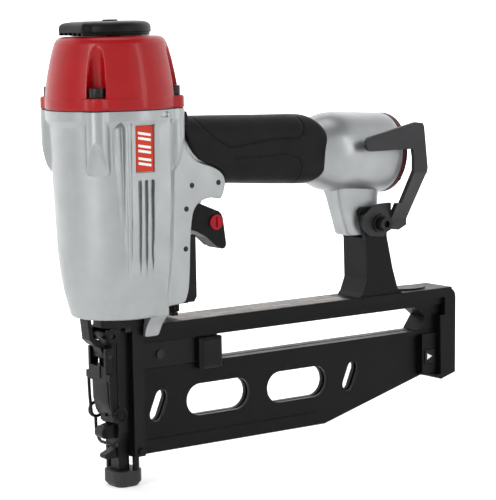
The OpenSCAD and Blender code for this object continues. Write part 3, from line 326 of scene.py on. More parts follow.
def inset_line(line: np.ndarray, by: float) -> np.ndarray:
    """Moves a closed counter-clockwise line inwards along its normals.

    Args:
        line: its points.
        by: how far it moves.

    Returns:
        The moved points.
    """
    ahead = np.roll(line, -1, axis=0) - np.roll(line, 1, axis=0)
    ahead /= np.maximum(np.linalg.norm(ahead, axis=1, keepdims=True), 1e-9)
    return line + by * np.stack([-ahead[:, 1], ahead[:, 0]], -1)


def away_from(x: np.ndarray, z: np.ndarray, line: Points) -> np.ndarray:
    """Distance from each (x, z) to an open line, the least over its segments.

    Args:
        x: first coordinate.
        z: second coordinate.
        line: the line's points.

    Returns:
        The distances.
    """
    p = np.asarray(line, float)
    a, d = p[:-1], np.diff(p, axis=0)
    q = np.stack([x, z], -1)[..., None, :] - a
    t = np.clip(np.sum(q * d, -1) / np.sum(d * d, -1), 0, 1)
    return np.linalg.norm(q - t[..., None] * d, axis=-1).min(-1)


def ring_faces(rings: int, turns: int) -> np.ndarray:
    """The quads between each ring and the next, facing outwards on rings that climb."""
    i, j = np.meshgrid(np.arange(rings - 1), np.arange(turns), indexing="ij")
    a, b = i * turns + j, i * turns + (j + 1) % turns
    return np.stack([a, b, b + turns, a + turns], -1).reshape(-1, 4)


def skin(rows: np.ndarray) -> tuple[np.ndarray, list]:
    """Closes a stack of rings into a solid's surface.

    Args:
        rows: ring by ring, points counter-clockwise round the direction the rings climb.

    Returns:
        Vertices, and faces: a quad between each pair of neighbours, and a lid on each end.
    """
    n, m = rows.shape[:2]
    faces = ring_faces(n, m).tolist()
    faces.append(list(range(m))[::-1])
    faces.append(list(range((n - 1) * m, n * m)))
    return rows.reshape(-1, 3), faces


def new_object(name: str, points: np.ndarray, faces: list, material: bpy.types.Material) -> bpy.types.Object:
    """Puts a smooth mesh with its material into the scene.

    Args:
        name: the object's name.
        points: its vertices, in metres.
        faces: its faces.
        material: its material.

    Returns:
        The object.
    """
    mesh = bpy.data.meshes.new(name)
    mesh.from_pydata(points.tolist(), [], faces)
    mesh.polygons.foreach_set("use_smooth", np.ones(len(faces), bool))
    mesh.materials.append(material)
    obj = bpy.data.objects.new(name, mesh)
    bpy.context.scene.collection.objects.link(obj)
    return obj


@dataclass
class Maker:
    """Turns surfaces, in millimetres, into finished pieces that ride on a body."""

    def add(self, name: str, rows: np.ndarray, choice: Finishes, slot: str, body: str = "tool",
            nodes: Sequence[str] = (), sharp_deg: float = 38.0) -> bpy.types.Object:
        """Makes one piece from a stack of rings.

        Args:
            name: the piece's name.
            rows: its rings, in millimetres.
            choice: its finish.
            slot: the record's material slot; not used.
            body: the CAD body it rides on.
            nodes: the CAD nodes it stands for.
            sharp_deg: edges turning more than this stay crisp.

        Returns:
            The object.
        """
        points, faces = skin(rows)
        obj = new_object(name, points * MM, faces, finish(choice))
        obj.data.set_sharp_from_angle(angle=math.radians(sharp_deg))
        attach(obj, body)
        if nodes:
            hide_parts(*nodes)
        return obj

    def turned(self, origin: Sequence[float], axis: Sequence[float], profile: Points,
               turns: int = 160) -> np.ndarray:
        """Rings of a turned surface: each (along, radius) of the profile swept round the axis.

        Args:
            origin: a point on the axis, where along is zero.
            axis: the direction in which along grows.
            profile: the (along, radius) pairs.
            turns: points in each ring.

        Returns:
            The rings.
        """
        a = np.asarray(axis, float) / np.linalg.norm(axis)
        e1 = np.cross(a, (0, 0, 1)) if abs(a[2]) < 0.9 else np.array([1.0, 0, 0])
        e1 /= np.linalg.norm(e1)
        e2 = np.cross(a, e1)
        t = bearings(turns)[None, :, None]
        p = np.asarray(profile, float)
        return np.asarray(origin, float) + p[:, None, :1] * a + p[:, None, 1:] * (np.cos(t) * e1 + np.sin(t) * e2)

    def slice(self, line: np.ndarray, y: Span, edge: float, steps: int = 5) -> np.ndarray:
        """Rings of a plate in the XZ plane with quarter-round edges: the outline moves in by
        edge (1 - sin a) while its depth moves by edge (1 - cos a).

        Args:
            line: its closed outline in X and Z.
            y: its two faces.
            edge: radius of its edges.
            steps: rings in each edge.

        Returns:
            The rings.
        """
        a = np.linspace(0, math.pi / 2, steps)
        inset = np.concatenate([edge * (1 - np.sin(a)), edge * (1 - np.cos(a))])
        depth = np.concatenate([y[1] - edge * (1 - np.cos(a)), y[0] + edge * (1 - np.sin(a))])
        return np.stack([np.insert(inset_line(line, d), 1, h, axis=1) for d, h in zip(inset, depth)])

    def polar(self, zs: np.ndarray, field_at: Callable, turns: int, pull: float = 0.0,
              reach: float = 62.0) -> np.ndarray:
        """Rings of a star-shaped solid: on each bearing the radius where the section's distance is zero,
        found by halving. Bearings crowd towards the two sides by pull: t plus half pull times sin 2t.

        Args:
            zs: heights of the rings.
            field_at: distance to the solid at x, y, z; negative inside.
            turns: points in each ring.
            pull: how much the bearings crowd to the sides.
            reach: a radius outside the solid.

        Returns:
            The rings.
        """
        t = bearings(turns)
        t = (t + pull / 2 * np.sin(2 * t))[None, :]
        z = np.asarray(zs, float)[:, None] + 0 * t
        low, high = np.zeros_like(z), np.full_like(z, reach)
        for _ in range(24):
            mid = (low + high) / 2
            outside = field_at(mid * np.cos(t), mid * np.sin(t), z) > 0
            high = np.where(outside, mid, high)
            low = np.where(outside, low, mid)
        return np.stack([low * np.cos(t), low * np.sin(t), z], -1)

    def loft(self, zs: np.ndarray, xs: Sequence[Points], ys: Sequence[Points], pinch: Points,
             powers: Span, turns: int) -> np.ndarray:
        """Rings of an upright leg with superellipse sections: on each axis the middle plus half the width
        times the signed power of cos t or sin t, with the half width shrunk by the pinch.

        Args:
            zs: heights of the rings.
            xs: the two limits in x, by height.
            ys: the two limits in y, by height.
            pinch: the shrinking that rounds its foot, by height.
            powers: the powers for x and y.
            turns: points in each ring.

        Returns:
            The rings.
        """
        t = bearings(turns)[None, :]
        size = curve(zs, pinch)[:, None]
        both = []
        for limits, wave, power in ((xs, np.cos(t), powers[0]), (ys, np.sin(t), powers[1])):
            low, high = (curve(zs, limit)[:, None] for limit in limits)
            both.append((low + high) / 2 + (high - low) / 2 * size * signed_power(wave, power))
        return np.stack([*both, zs[:, None] + 0 * t], -1)


# ---- the tool's own shapes ----

@dataclass(frozen=True)
class Sizes:
    """The tool's levels and radii, in millimetres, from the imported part."""
    cap_top: float = 287.0
    boss_at: float = 27.4
    boss: float = 7.4
    handle: float = 216.5
    tilt_deg: float = 3.85
    rail_top: float = 104.0
    pivot: Span = (43.3, 176.2)
    web_half: float = 17.0

    def handle_axis(self) -> tuple[np.ndarray, np.ndarray]:
        """Gives the handle line: a point on the driver's axis and its direction."""
        t = math.radians(self.tilt_deg)
        return np.array([0, 0, self.handle]), np.array([math.cos(t), 0, -math.sin(t)])

    def corners(self) -> list[Span]:
        """The four screw places of the cap joint."""
        return [(sx * self.boss_at, sy * self.boss_at) for sx in (-1, 1) for sy in (-1, 1)]


SIZE = Sizes()
NO_BOSS = 30.0  # a distance so large that the boss is not there
NO_CUT = 9.0  # a distance so large that the cut is not there


@dataclass
class Casting:
    """The silver casting: barrel with bosses, side panels, web, legs and bell."""
    make: Maker
    # barrel by height: its radius, then the side panel's face and the panel's two edges
    body_profile: Points = ((111, 28.4), (112, 29.4), (116, 30.4), (127, 33.2), (138, 35.0), (153, 36.6), (184, 37.9),
                            (206, 38.8), (229, 39.3), (232, 39.5), (235.5, 41.6), (241.5, 41.8))
    panel_out: Points = ((111, 26.4), (125, 31.4), (141, 36.0), (172, 37.6), (235, 38.7), (241.5, 38.7))
    panel_left: Points = ((111, 5.6), (122, -2), (134, -10.4), (141, -12.4), (235, -13.7))
    panel_right: Points = ((111, 22.8), (125, 19.4), (141, 17.2), (197, 19), (241.5, 19))
    # corner bosses by height: radius, and the scoop taken out of each from outside
    boss_size: Points = ((202, 0.0), (203, 6.0), (206, 7.3), (221, 7.4), (241.5, 7.4))
    scoop: Points = ((202, 11.0), (206, 9.6), (210, 8.0), (214, 6.4), (218, 4.8), (221.5, 2.6), (222.6, 0), (242, -2))
    scoop_out: float = 1.24
    # hollow beside the panel: its spans, and the levels where it fades out
    hollow: tuple[Span, Span] = ((-19.6, -13.8), (33.6, 60))
    hollow_z: Span = (158, 231.5)
    # badge recess and notch: spans in X and Z, and how near the middle they reach
    recess: tuple[Span, Span] = ((-7.4, 6.2), (203.5, 232.9))
    recess_floor: float = 37.0
    notch: tuple[Span, Span] = ((10, 16.7), (237.2, 240.2))
    notch_floor: float = 37.6
    # cooling grooves: places, foot, round top's level and radius, depth and half width by height
    groove_x: tuple[float, ...] = (-4.6, -0.1, 4.4)
    groove_z: Span = (137, 197.4)
    groove_top: float = 1.25
    groove_deep: Points = ((137, 0.0), (150, 1.5), (190, 2.2), (200, 2.2))
    groove_half: Points = ((137, 0.5), (150, 1.0), (199, 1.25))
    # engraved line along the panel
    seam_x: float = -10.6
    seam_z: Span = (150, 234)
    # rings: points in each, and how much they crowd towards the sides
    turns: int = 760
    crowd: float = 0.62
    # front legs by height: outer and inner face, front and rear edge, rounding of the foot
    leg_out: Points = ((97, 17.3), (104, 19.8), (111, 25.8), (118, 28.2))
    leg_in: Points = ((97, 14.25), (118, 14.25))
    leg_front: Points = ((97, 9.6), (104, 10), (111, 10.4), (118, 9))
    leg_back: Points = ((97, 20.2), (104, 21.6), (113, 23.6), (118, 22))
    leg_foot: Points = ((97.1, 0.75), (97.3, 0.86), (97.8, 0.95), (98.6, 1), (119, 1))
    # bell along the handle line, and the rear leg by height
    bell_profile: Points = ((40, 16.9), (150, 17), (152, 19.6), (154, 21.2), (157, 22.4), (160, 23.8), (164, 25.4),
                            (168, 26.4), (173, 27.0), (180, 27.2), (196, 27.3), (211, 27.4), (214.6, 27.4),
                            (215.6, 27.1), (216, 26.6))
    rear_front: Points = ((146, 183.5), (148.3, 181.5), (160, 177.8), (166.5, 175.8), (172, 174.4), (180, 172),
                          (188, 167.5), (194, 162), (198, 160))
    rear_back: Points = ((146, 206), (152, 210), (166, 209), (176, 209), (184, 211), (194, 215))
    rear_half: Points = ((146, 9), (164, 9), (172, 9.6), (178, 11), (184, 13.6), (189, 17), (194, 22), (198, 24))
    rear_foot: Points = ((146.6, 0.9), (146.8, 0.95), (147.4, 0.985), (148.4, 1), (198, 1))
    # web: outline of its cheeks, their inner face, and what the far one leaves free for the pressed link
    cheek: Points = ((22, 115), (30, 115), (40.2, 116.1), (43.2, 121), (44.5, 127), (45.4, 138), (45.9, 148.6),
                     (46.6, 160), (48.3, 171.4), (50.2, 176), (53, 179), (57, 181), (62.1, 182), (67, 181.6),
                     (70.4, 181.1), (72.2, 183.5), (73.6, 187.5), (74.2, 191), (73, 195.5), (69.5, 199.3),
                     (64, 202.4), (58, 204.4), (53, 206.4), (49, 210), (46.3, 214), (44.4, 218.6), (43.4, 223),
                     (41.8, 230), (40.7, 238), (30, 239.5), (22, 239.5), (22, 200), (22, 150))
    cheek_in: float = 7.9
    link_room: float = 1.8
    spine: Span = (-8, 8)
    # end of a cross pin: (along, radius)
    pin: Points = ((0, 1.75), (2.06, 1.75), (2.16, 1.6), (2.16, 0.3))
    pin_from: float = 15.0

    def put(self, name: str, rows: np.ndarray, sharp_deg: float) -> None:
        """Adds a piece of the silver casting."""
        self.make.add(name, rows, Finishes.SILVER_CASTING, "cast_silver", nodes=["frame"], sharp_deg=sharp_deg)

    def section(self, x: np.ndarray, y: np.ndarray, z: np.ndarray) -> np.ndarray:
        """Distance to the barrel's section: a round body, filleted to a flat side panel and four corner
        bosses, less the badge's recess, the cooling grooves, a notch and the hollow beside the panel.

        Args:
            x: coordinate along the handle.
            y: coordinate across the tool.
            z: height.

        Returns:
            The distance, negative inside.
        """
        side, out = np.abs(y), curve(z, self.panel_out)
        solid = disc(x, y, (0, 0), curve(z, self.body_profile))
        size = curve(z, self.boss_size)
        for at in SIZE.corners():
            boss = disc(x, y, at, size) + np.where(size < 0.1, NO_BOSS, 0.0)
            outside = (at[0] * self.scoop_out, at[1] * self.scoop_out)
            boss = smooth_cut(boss, disc(x, y, outside, curve(z, self.scoop)), 0.5)
            solid = smooth_min(solid, boss, 2.4)
        hollow = slab(x, side, *self.hollow, 0.6)
        hollow = hollow + np.clip((self.hollow_z[0] - z) / 8, 0, 9) + np.clip((z - self.hollow_z[1]) / 1.2, 0, 9)
        solid = smooth_cut(solid, hollow, 0.5)
        panel = slab(x, y, (curve(z, self.panel_left), curve(z, self.panel_right)), (-out, out), 1.5)
        solid = smooth_min(solid, panel, 1.0)
        solid = smooth_cut(solid, np.maximum(slab(x, z, *self.recess, 0.6), self.recess_floor - side), 0.25)
        solid = smooth_cut(solid, np.maximum(slab(x, z, *self.notch, 0.8), self.notch_floor - side), 0.3)
        foot, top = self.groove_z
        for at in self.groove_x:
            wall = np.abs(x - at) - curve(z, self.groove_half)
            end = np.hypot(np.maximum(z - top, 0), x - at) - self.groove_top
            slot = np.maximum(np.where(z > top, end, wall), out - curve(z, self.groove_deep) - side)
            solid = smooth_cut(solid, np.where((z > foot) & (z < top + 1.8), slot, NO_CUT), 0.45)
        seam = np.maximum(np.abs(x - self.seam_x) - 0.35, out - 0.5 - side)
        return smooth_cut(solid, np.where((z > self.seam_z[0]) & (z < self.seam_z[1]), seam, NO_CUT), 0.3)

    def barrel(self) -> None:
        """Builds the barrel as rings of that section, closer together where its form turns."""
        zs = np.concatenate([[111.0, 111.2, 111.6, 112.2], np.arange(113, 140, 1.6), np.arange(140, 196, 2.0),
                             np.arange(196, 202.8, 0.5), np.arange(202.8, 204.2, 0.2), np.arange(204.2, 232, 0.9),
                             np.arange(232, 241.5, 0.35), [241.5]])
        rows = self.make.polar(zs, self.section, self.turns, self.crowd)
        rows[0, :, :2] *= 0.985
        self.put("barrel_casting", rows, 50)

    def web(self) -> None:
        """Builds the web from two cheeks with a spine between, open where the trigger sits."""
        z = SIZE.pivot[1]
        for side, word in SIDES.items():
            y = (self.cheek_in, SIZE.web_half) if side > 0 else (-SIZE.web_half, -self.cheek_in)
            lift = self.link_room if side > 0 else 0.0
            line = rounded_line([(at, up + lift) for at, up in self.cheek[:3]] + list(self.cheek[3:]))
            self.put(f"web_cheek_{word}", self.make.slice(line, y, 1.1), 60)
        low = [(24, 116), (34.6, 117), (34.8, 130), (44, 130.2), (44.6, 148), (44.5, 156), (43, z - 15.6),
               (34, z - 15), (24, z - 15)]
        high = [(24, z + 8), (34, z + 7), (60, z + 7.6), (70, z + 9), (72.6, z + 14), (71, z + 20), (62, z + 26),
                (50, z + 31), (44, z + 40), (40, z + 58), (30, z + 61), (24, z + 61)]
        for name, outline in (("web_spine_low", low), ("web_spine_high", high)):
            self.put(name, self.make.slice(rounded_line(outline), self.spine, 0.3), 38)

    def legs(self) -> None:
        """Builds the two front legs: rounded sections that lean in to straddle the rail."""
        zs = np.concatenate([[97.1, 97.3, 97.8, 98.6], np.arange(100, 119, 1.5)])
        rows = self.make.loft(zs, (self.leg_front, self.leg_back), (self.leg_in, self.leg_out), self.leg_foot,
                              (0.35, 0.35), 64)
        for side, word in SIDES.items():
            self.put(f"front_leg_{word}", rows if side > 0 else rows[:, ::-1] * np.array([1, -1, 1]), 60)

    def bell(self) -> None:
        """Builds the handle's flared bell and the leg that flows out of it."""
        origin, axis = SIZE.handle_axis()
        self.put("handle_bell", self.make.turned(origin, axis, self.bell_profile, 200), 60)
        zs = np.concatenate([[146.6, 146.8, 147.4, 148.4], np.arange(150, 198, 1.5)])
        near = tuple((z, -half) for z, half in self.rear_half)
        rows = self.make.loft(zs, (self.rear_front, self.rear_back), (near, self.rear_half), self.rear_foot,
                              (0.4, 0.3), 96)
        self.put("rear_leg", rows, 70)

    def pins(self) -> None:
        """Builds the dark ends of the four cross pins on both faces of the web."""
        z = SIZE.pivot[1]
        for k, at in enumerate([(47.9, z + 14.8), (68.5, z + 15.4), (43.3, z), (42.2, z - 25.6)]):
            for side, word in SIDES.items():
                rows = self.make.turned([at[0], side * self.pin_from, at[1]], (0, side, 0), self.pin, 32)
                self.make.add(f"pin_end_{k}_{word}", rows, Finishes.BLACK_SCREW, "black_oxide")

    def build(self) -> None:
        """Builds the casting."""
        self.barrel()
        self.web()
        self.legs()
        self.bell()
        self.pins()


@dataclass
class Top:
    """The red cap and the black turning deflector over it."""
    make: Maker
    # cap by height: the dome's radius, the flute over each screw, and the rounding of the flange's edge
    dome: Points = ((242.3, 41.6), (249, 41.7), (256, 41.2), (264, 39.9), (272, 38.2), (279, 36.4), (283, 35.1),
                    (285, 33.8), (286.2, 32.3), (286.8, 30.6), (287, 28.6))
    flute: Points = ((242, 5.7), (256, 5.6), (264, 5.1), (272, 4.5), (278, 3.8), (282, 2.6), (285, 1.6), (287, 1.2))
    flange: float = 41.9
    flange_edge: Points = ((242.3, 0.35), (242.8, 0.0), (248.4, 0.0), (249.2, 0.2), (249.7, 0.7), (249.9, 1.6),
                           (250.0, NO_BOSS))
    # deflector: base radius, the cover's disc and hood, and by height over the seat what each edge draws in
    base: float = 24.8
    base_edge: Points = ((0, 2.6), (0.1, 2.2), (0.4, 2.0), (4, 2.0))
    cover: float = 26.6
    cover_at: Span = (-1.2, 0)
    hood: tuple[Span, Span] = ((-29.0, 0), (-15, 15))
    cover_edge: Points = ((1.9, 0.5), (2.0, 0.2), (2.3, 0), (4.6, 0), (6, 0.25), (7, 0.8), (7.8, 1.6), (8.4, 2.8),
                          (8.8, 4.4), (9.05, 6.4), (9.2, 9))
    droop: float = 0.4
    rib_y: Span = (-13.4, 13.4)
    rib_half: float = 0.8

    def put(self, name: str, rows: np.ndarray, sharp_deg: float) -> None:
        """Adds a piece of the deflector."""
        self.make.add(name, rows, Finishes.BLACK_NYLON, "black_plastic", "deflector", ["exhaust_deflector"],
                      sharp_deg)

    def section(self, x: np.ndarray, y: np.ndarray, z: np.ndarray) -> np.ndarray:
        """Distance to the cap's section: the dome, with a flute over each screw, and below it the flange with
        its four bosses, whose upper edge is rounded by growing the distance over its last millimetre.

        Args:
            x: coordinate along the handle.
            y: coordinate across the tool.
            z: height.

        Returns:
            The distance, negative inside.
        """
        dome = disc(x, y, (0, 0), curve(z, self.dome))
        rim = disc(x, y, (0, 0), self.flange)
        for at in SIZE.corners():
            dome = smooth_cut(dome, disc(x, y, at, curve(z, self.flute)), 1.1)
            rim = smooth_min(rim, disc(x, y, at, SIZE.boss), 2.6)
        return smooth_min(dome, rim + curve(z, self.flange_edge), 0.5)

    def cap(self) -> None:
        """Builds the cap, with rings closer together at the flange's edge and the crown."""
        zs = np.concatenate([[242.3, 242.55, 242.8], np.arange(244, 248.3, 1.4), np.arange(248.4, 250.2, 0.1),
                             np.arange(250.4, 278, 1.2), np.arange(278, 284, 0.5), np.arange(284, 287, 0.2), [287.0]])
        rows = self.make.polar(zs, self.section, 720)
        self.make.add("cap_casting", rows, Finishes.RED_ENAMEL, "cap_red", nodes=["cylinder_cap"], sharp_deg=55)

    def base_plan(self, x: np.ndarray, y: np.ndarray, z: np.ndarray) -> np.ndarray:
        """Distance to the deflector's base, a disc drawn in at its edges."""
        return disc(x, y, (0, 0), self.base) + curve(z, self.raised(self.base_edge)) - 2

    def cover_plan(self, x: np.ndarray, y: np.ndarray, z: np.ndarray) -> np.ndarray:
        """Distance to the deflector's cover: a disc joined to a square hood, drawn in at its edges."""
        plan = smooth_min(disc(x, y, self.cover_at, self.cover), slab(x, y, *self.hood, 1.6), 1.5)
        return plan + curve(z, self.raised(self.cover_edge))

    def raised(self, profile: Points) -> Points:
        """Moves a profile up from the deflector's seat to its height on the tool."""
        return tuple((SIZE.cap_top + 0.4 + h, v) for h, v in profile)

    def deflector(self) -> None:
        """Builds the deflector: a low base, a domed cover with a hood that droops, and the louvre ribs."""
        seat = SIZE.cap_top + 0.4
        self.put("deflector_base", self.make.polar(seat + np.array([0, 0.1, 0.4, 2.0, 3.2]), self.base_plan, 160), 38)
        levels = np.array([1.9, 2.0, 2.3, 3.0, 4.6, 6.0, 7.0, 7.8, 8.4, 8.8, 9.05, 9.2])
        rows = self.make.polar(seat + levels, self.cover_plan, 260)
        slope = np.clip(1 - (rows[..., 0] + 30) / 60, 0, 1)
        rows[..., 2] -= slope * np.clip((rows[..., 2] - seat - 4.6) / 4.6, 0, 1) * self.droop
        self.put("deflector_cover", rows, 60)
        line = rounded_line([(-28.6, seat + 0.4), (-14, seat + 0.2), (-14, seat + 3), (-28.6, seat + 3)], 1)
        for k, y in enumerate(np.linspace(*self.rib_y, 6)):
            self.put(f"deflector_rib_{k}", self.make.slice(line, (y - self.rib_half, y + self.rib_half), 0.2), 38)

    def build(self) -> None:
        """Builds cap and deflector."""
        self.cap()
        self.deflector()


@dataclass
class Grip:
    """The rubber grip: a swelling sleeve whose front follows the web and whose face carries engraved lines."""
    make: Maker
    # front edge, as (height, place along X)
    front: Points = ((184, 83), (188, 80), (190.5, 76.5), (194, 75.6), (197.5, 72.6), (200.6, 68.6), (203.2, 63.4),
                     (205.4, 58), (207.4, 53.6), (211, 49.6), (215, 46.8), (219.6, 45), (224, 44), (231, 42.4),
                     (238, 41.6))
    # the two engraved lines, in X and Z
    upper: Points = ((54.6, 234), (57.3, 228), (65.1, 220.5), (76.4, 213.8), (88.1, 215), (104.6, 217),
                     (123.7, 217.4), (130.9, 217), (135.9, 220.2), (138.1, 224.9), (137.8, 230))
    lower: Points = ((80, 206.6), (99.6, 206.7), (113.9, 206.9), (123.5, 206.1), (130.7, 204), (134.3, 199.4),
                     (134.8, 193), (133.4, 184))
    line_deep: float = 0.75
    line_half: float = 0.55
    # middle, half height and half width along X
    middle: Points = ((40, 212.6), (86, 211.4), (114, 209.8), (160, 207.6))
    tall: Points = ((40, 22.6), (86, 22.3), (114, 22.9), (140, 23.4), (160, 23))
    wide: Points = ((40, 18.9), (86, 19.2), (114, 19.4), (140, 20.6), (160, 20.8))
    powers: Span = (0.8, 0.86)
    # rear end: where it starts at top and bottom, how far its middle bulges, and over what half height
    end: tuple[float, float, float] = (149.4, 9.6, 23.6)
    roll_in: float = 4.6
    steps: int = 190

    def sleeve(self) -> None:
        """Builds the sleeve.

        The section is a superellipse, y = w |cos|^0.8 and z = c + h |sin|^0.86; along the handle each line of
        constant height runs from the front curve to a bulging end, and the rim at each end rolls in by a
        quarter circle. The engraved lines sink by a bell curve of the distance to them. Height and place
        depend on each other, so they are worked out four times in turn.
        """
        t = bearings(420)[None, :]
        u = np.concatenate([[0.0, 0.0, 0.0, 0.004, 0.01, 0.018], np.linspace(0.026, 0.95, self.steps),
                            [0.962, 0.974, 0.984, 0.992, 0.997, 1.0]])[:, None]
        roll = 1 - np.sqrt(1 - np.array([0.25, 0.5, 0.72, 0.88, 0.96, 1.0]) ** 2)
        tuck = np.concatenate([[-4.2, -2.4, -1.2, -0.5, -0.15, 0], np.zeros(self.steps),
                               -roll * self.roll_in])[:, None]
        x = 60 + 100 * u + 0 * t
        start, swell, reach = self.end
        for _ in range(4):
            mid = curve(x, self.middle)
            z = mid + (curve(x, self.tall) + tuck) * signed_power(np.sin(t), self.powers[1])
            bulge = start + swell * (1 - np.minimum(np.abs((z - mid) / reach), 1) ** 3.0)
            x = curve(z, self.front) + u * (bulge - curve(z, self.front))
        y = (curve(x, self.wide) + tuck) * signed_power(np.cos(t), self.powers[0])
        face = np.abs(y) > 6
        for line in (self.upper, self.lower):
            y -= np.sign(y) * self.line_deep * np.exp(-(away_from(x, z, line) / self.line_half) ** 2) * face
        self.make.add("grip_sleeve", np.stack([x, y, z], -1), Finishes.GRIP_RUBBER, "grip_rubber",
                      nodes=["grip"], sharp_deg=70)

    def lip(self) -> None:
        """Builds the upright lip behind the barrel."""
        line = rounded_line([(41.2, 214), (48, 214), (49.6, 220), (48.6, 230), (47.6, 237.2), (46, 238.4),
                             (42.6, 238.4), (41.6, 237.2), (41.4, 226)], 4)
        self.make.add("grip_lip", self.make.slice(line, (-14.6, 14.6), 1.6), Finishes.GRIP_RUBBER, "grip_rubber",
                      nodes=["grip"], sharp_deg=70)

    def build(self) -> None:
        """Builds the grip."""
        self.sleeve()
        self.lip()


@dataclass
class Trim:
    """Badge marks, the nose door's shield, the catch's plain arrow and the rail's foil strip."""
    make: Maker
    badge_y: float = 37.84
    badge_rows: tuple[float, ...] = (208.6, 216.4, 224.2)
    bar_gap: float = 3.1
    shield: Points = ((-14.6, 72), (-9.9, 72), (-9.9, 47), (-12.4, 50), (-14.2, 58))
    arrow: Points = ((250.2, 53.2), (254.8, 55.5), (250.2, 57.8))
    foil_x: Span = (40.5, 178)
    foil_z: Span = (0.02, 0.22)

    def badge(self) -> None:
        """Lays plain slanted bars on both badges, two to a row."""
        for side, word in SIDES.items():
            y = side * self.badge_y
            for k, z in enumerate(self.badge_rows):
                for j, lift in enumerate((0, self.bar_gap)):
                    line = rounded_line([(-5.2, z + lift), (4, z + lift - 1.6), (4, z + lift),
                                         (-5.2, z + lift + 1.6)], 1)
                    self.make.add(f"badge_bar_{k}_{j}_{word}", self.make.slice(line, (y - 0.1, y + 0.1), 0.02, 2),
                                  Finishes.WHITE_INK, "badge")

    def build(self) -> None:
        """Builds the trim."""
        self.badge()
        self.make.add("door_shield", self.make.slice(rounded_line(self.shield, 1), (-9.2, 9.2), 0.6),
                      Finishes.BLACK_STEEL, "nose_steel", "door_unit")
        self.make.add("catch_arrow", self.make.slice(rounded_line(self.arrow, 1), (-9.9, -9.6), 0.03, 2),
                      Finishes.WHITE_INK, "black_plastic", "button_unit")
        (x0, x1), (low, high) = self.foil_x, (SIZE.rail_top + h for h in self.foil_z)
        strip = rounded_line([(x0, low), (x1, low), (x1, high), (x0, high)], 1)
        self.make.add("foil_strip", self.make.slice(strip, (-13.2, 13.2), 0.03, 2), Finishes.LABEL, "label_grey",
                      nodes=["rail_label"])


@dataclass
class Wardrobe:
    """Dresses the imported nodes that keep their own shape, and breaks their sharp edges.

    The finish comes from the record's slot, or from dark for pins and springs that are blackened. Edges
    holds the width of each node's bevel.
    """
    slots: dict[str, Finishes] = field(default_factory=lambda: {
        "cast_silver": Finishes.SILVER_CASTING, "cap_red": Finishes.RED_ENAMEL, "black_paint": Finishes.BLACK_COAT,
        "black_oxide": Finishes.BLACK_SCREW, "steel": Finishes.BARE_STEEL, "nose_steel": Finishes.BLACK_STEEL,
        "sleeve_alloy": Finishes.TURNED_ALLOY, "grip_rubber": Finishes.GRIP_RUBBER,
        "seal_rubber": Finishes.SOFT_RUBBER, "bumper_urethane": Finishes.URETHANE,
        "gasket_red": Finishes.RED_GASKET, "black_plastic": Finishes.BLACK_NYLON,
        "white_plastic": Finishes.ACETAL, "dial_red": Finishes.RED_DIAL, "hook_steel": Finishes.HOOK_COAT,
        "brass_mesh": Finishes.BRASS_MESH, "badge": Finishes.BADGE, "label_grey": Finishes.LABEL})
    dark: dict[str, Finishes] = field(default_factory=lambda: {
        "trigger_pin": Finishes.BLACK_SCREW, "guide_pin": Finishes.BLACK_SCREW, "guide_rods": Finishes.BLACK_STEEL,
        "pusher_rivet": Finishes.BLACK_SCREW, "door_pins": Finishes.BLACK_SCREW, "latch_spring": Finishes.BLACK_STEEL,
        "deflector_screw": Finishes.BLACK_SCREW, "arm_nut": Finishes.BLACK_SCREW})
    edges: dict[str, float] = field(default_factory=lambda: {
        "magazine_frame": 0.9, "nail_channel": 0.5, "pusher": 0.6, "pusher_knob": 0.5, "trigger": 0.9,
        "belt_hook": 0.7, "link_guide": 0.6, "nose_body": 0.5, "nose_door": 0.5, "latch_cover": 0.6,
        "latch_lever": 0.4, "contact_foot": 0.5, "contact_rod": 0.3, "contact_link": 0.4, "cap_screws": 0.5,
        "end_cap": 0.5, "arm_bolt": 0.4, "arm_nut": 0.4, "hook_washer": 0.3, "depth_wheel": 0.2,
        "upper_link": 0.3, "magazine_latch": 0.3, "mode_dial": 0.4, "channel_screws": 0.3, "side_badge": 0.15})

    def dress(self, frame: dict) -> None:
        """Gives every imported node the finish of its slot, and rounded edges where they show.

        Args:
            frame: the loaded frame.
        """
        kept = {part["node"]: part["material_slot"] for part in frame["record"]["subparts"]}
        for name, node in frame["nodes"].items():
            material = finish(self.dark[name] if name in self.dark else self.slots[kept[name]])
            node.data.materials.clear()
            node.data.materials.append(material)
            if name in self.edges:
                weld = node.modifiers.new("weld", "WELD")
                weld.merge_threshold = 0.01 * MM
                bevel = node.modifiers.new("edge", "BEVEL")
                bevel.width = self.edges[name] * MM
                bevel.segments = 2
                bevel.limit_method = "ANGLE"
                bevel.angle_limit = math.radians(32)
                bevel.harden_normals = True


@dataclass(frozen=True)
class SoftBox:
    """A rectangular soft light: its centre, its width and height in metres, and its power in watts."""
    name: str
    place: tuple[float, float, float]
    size: Span
    watts: float


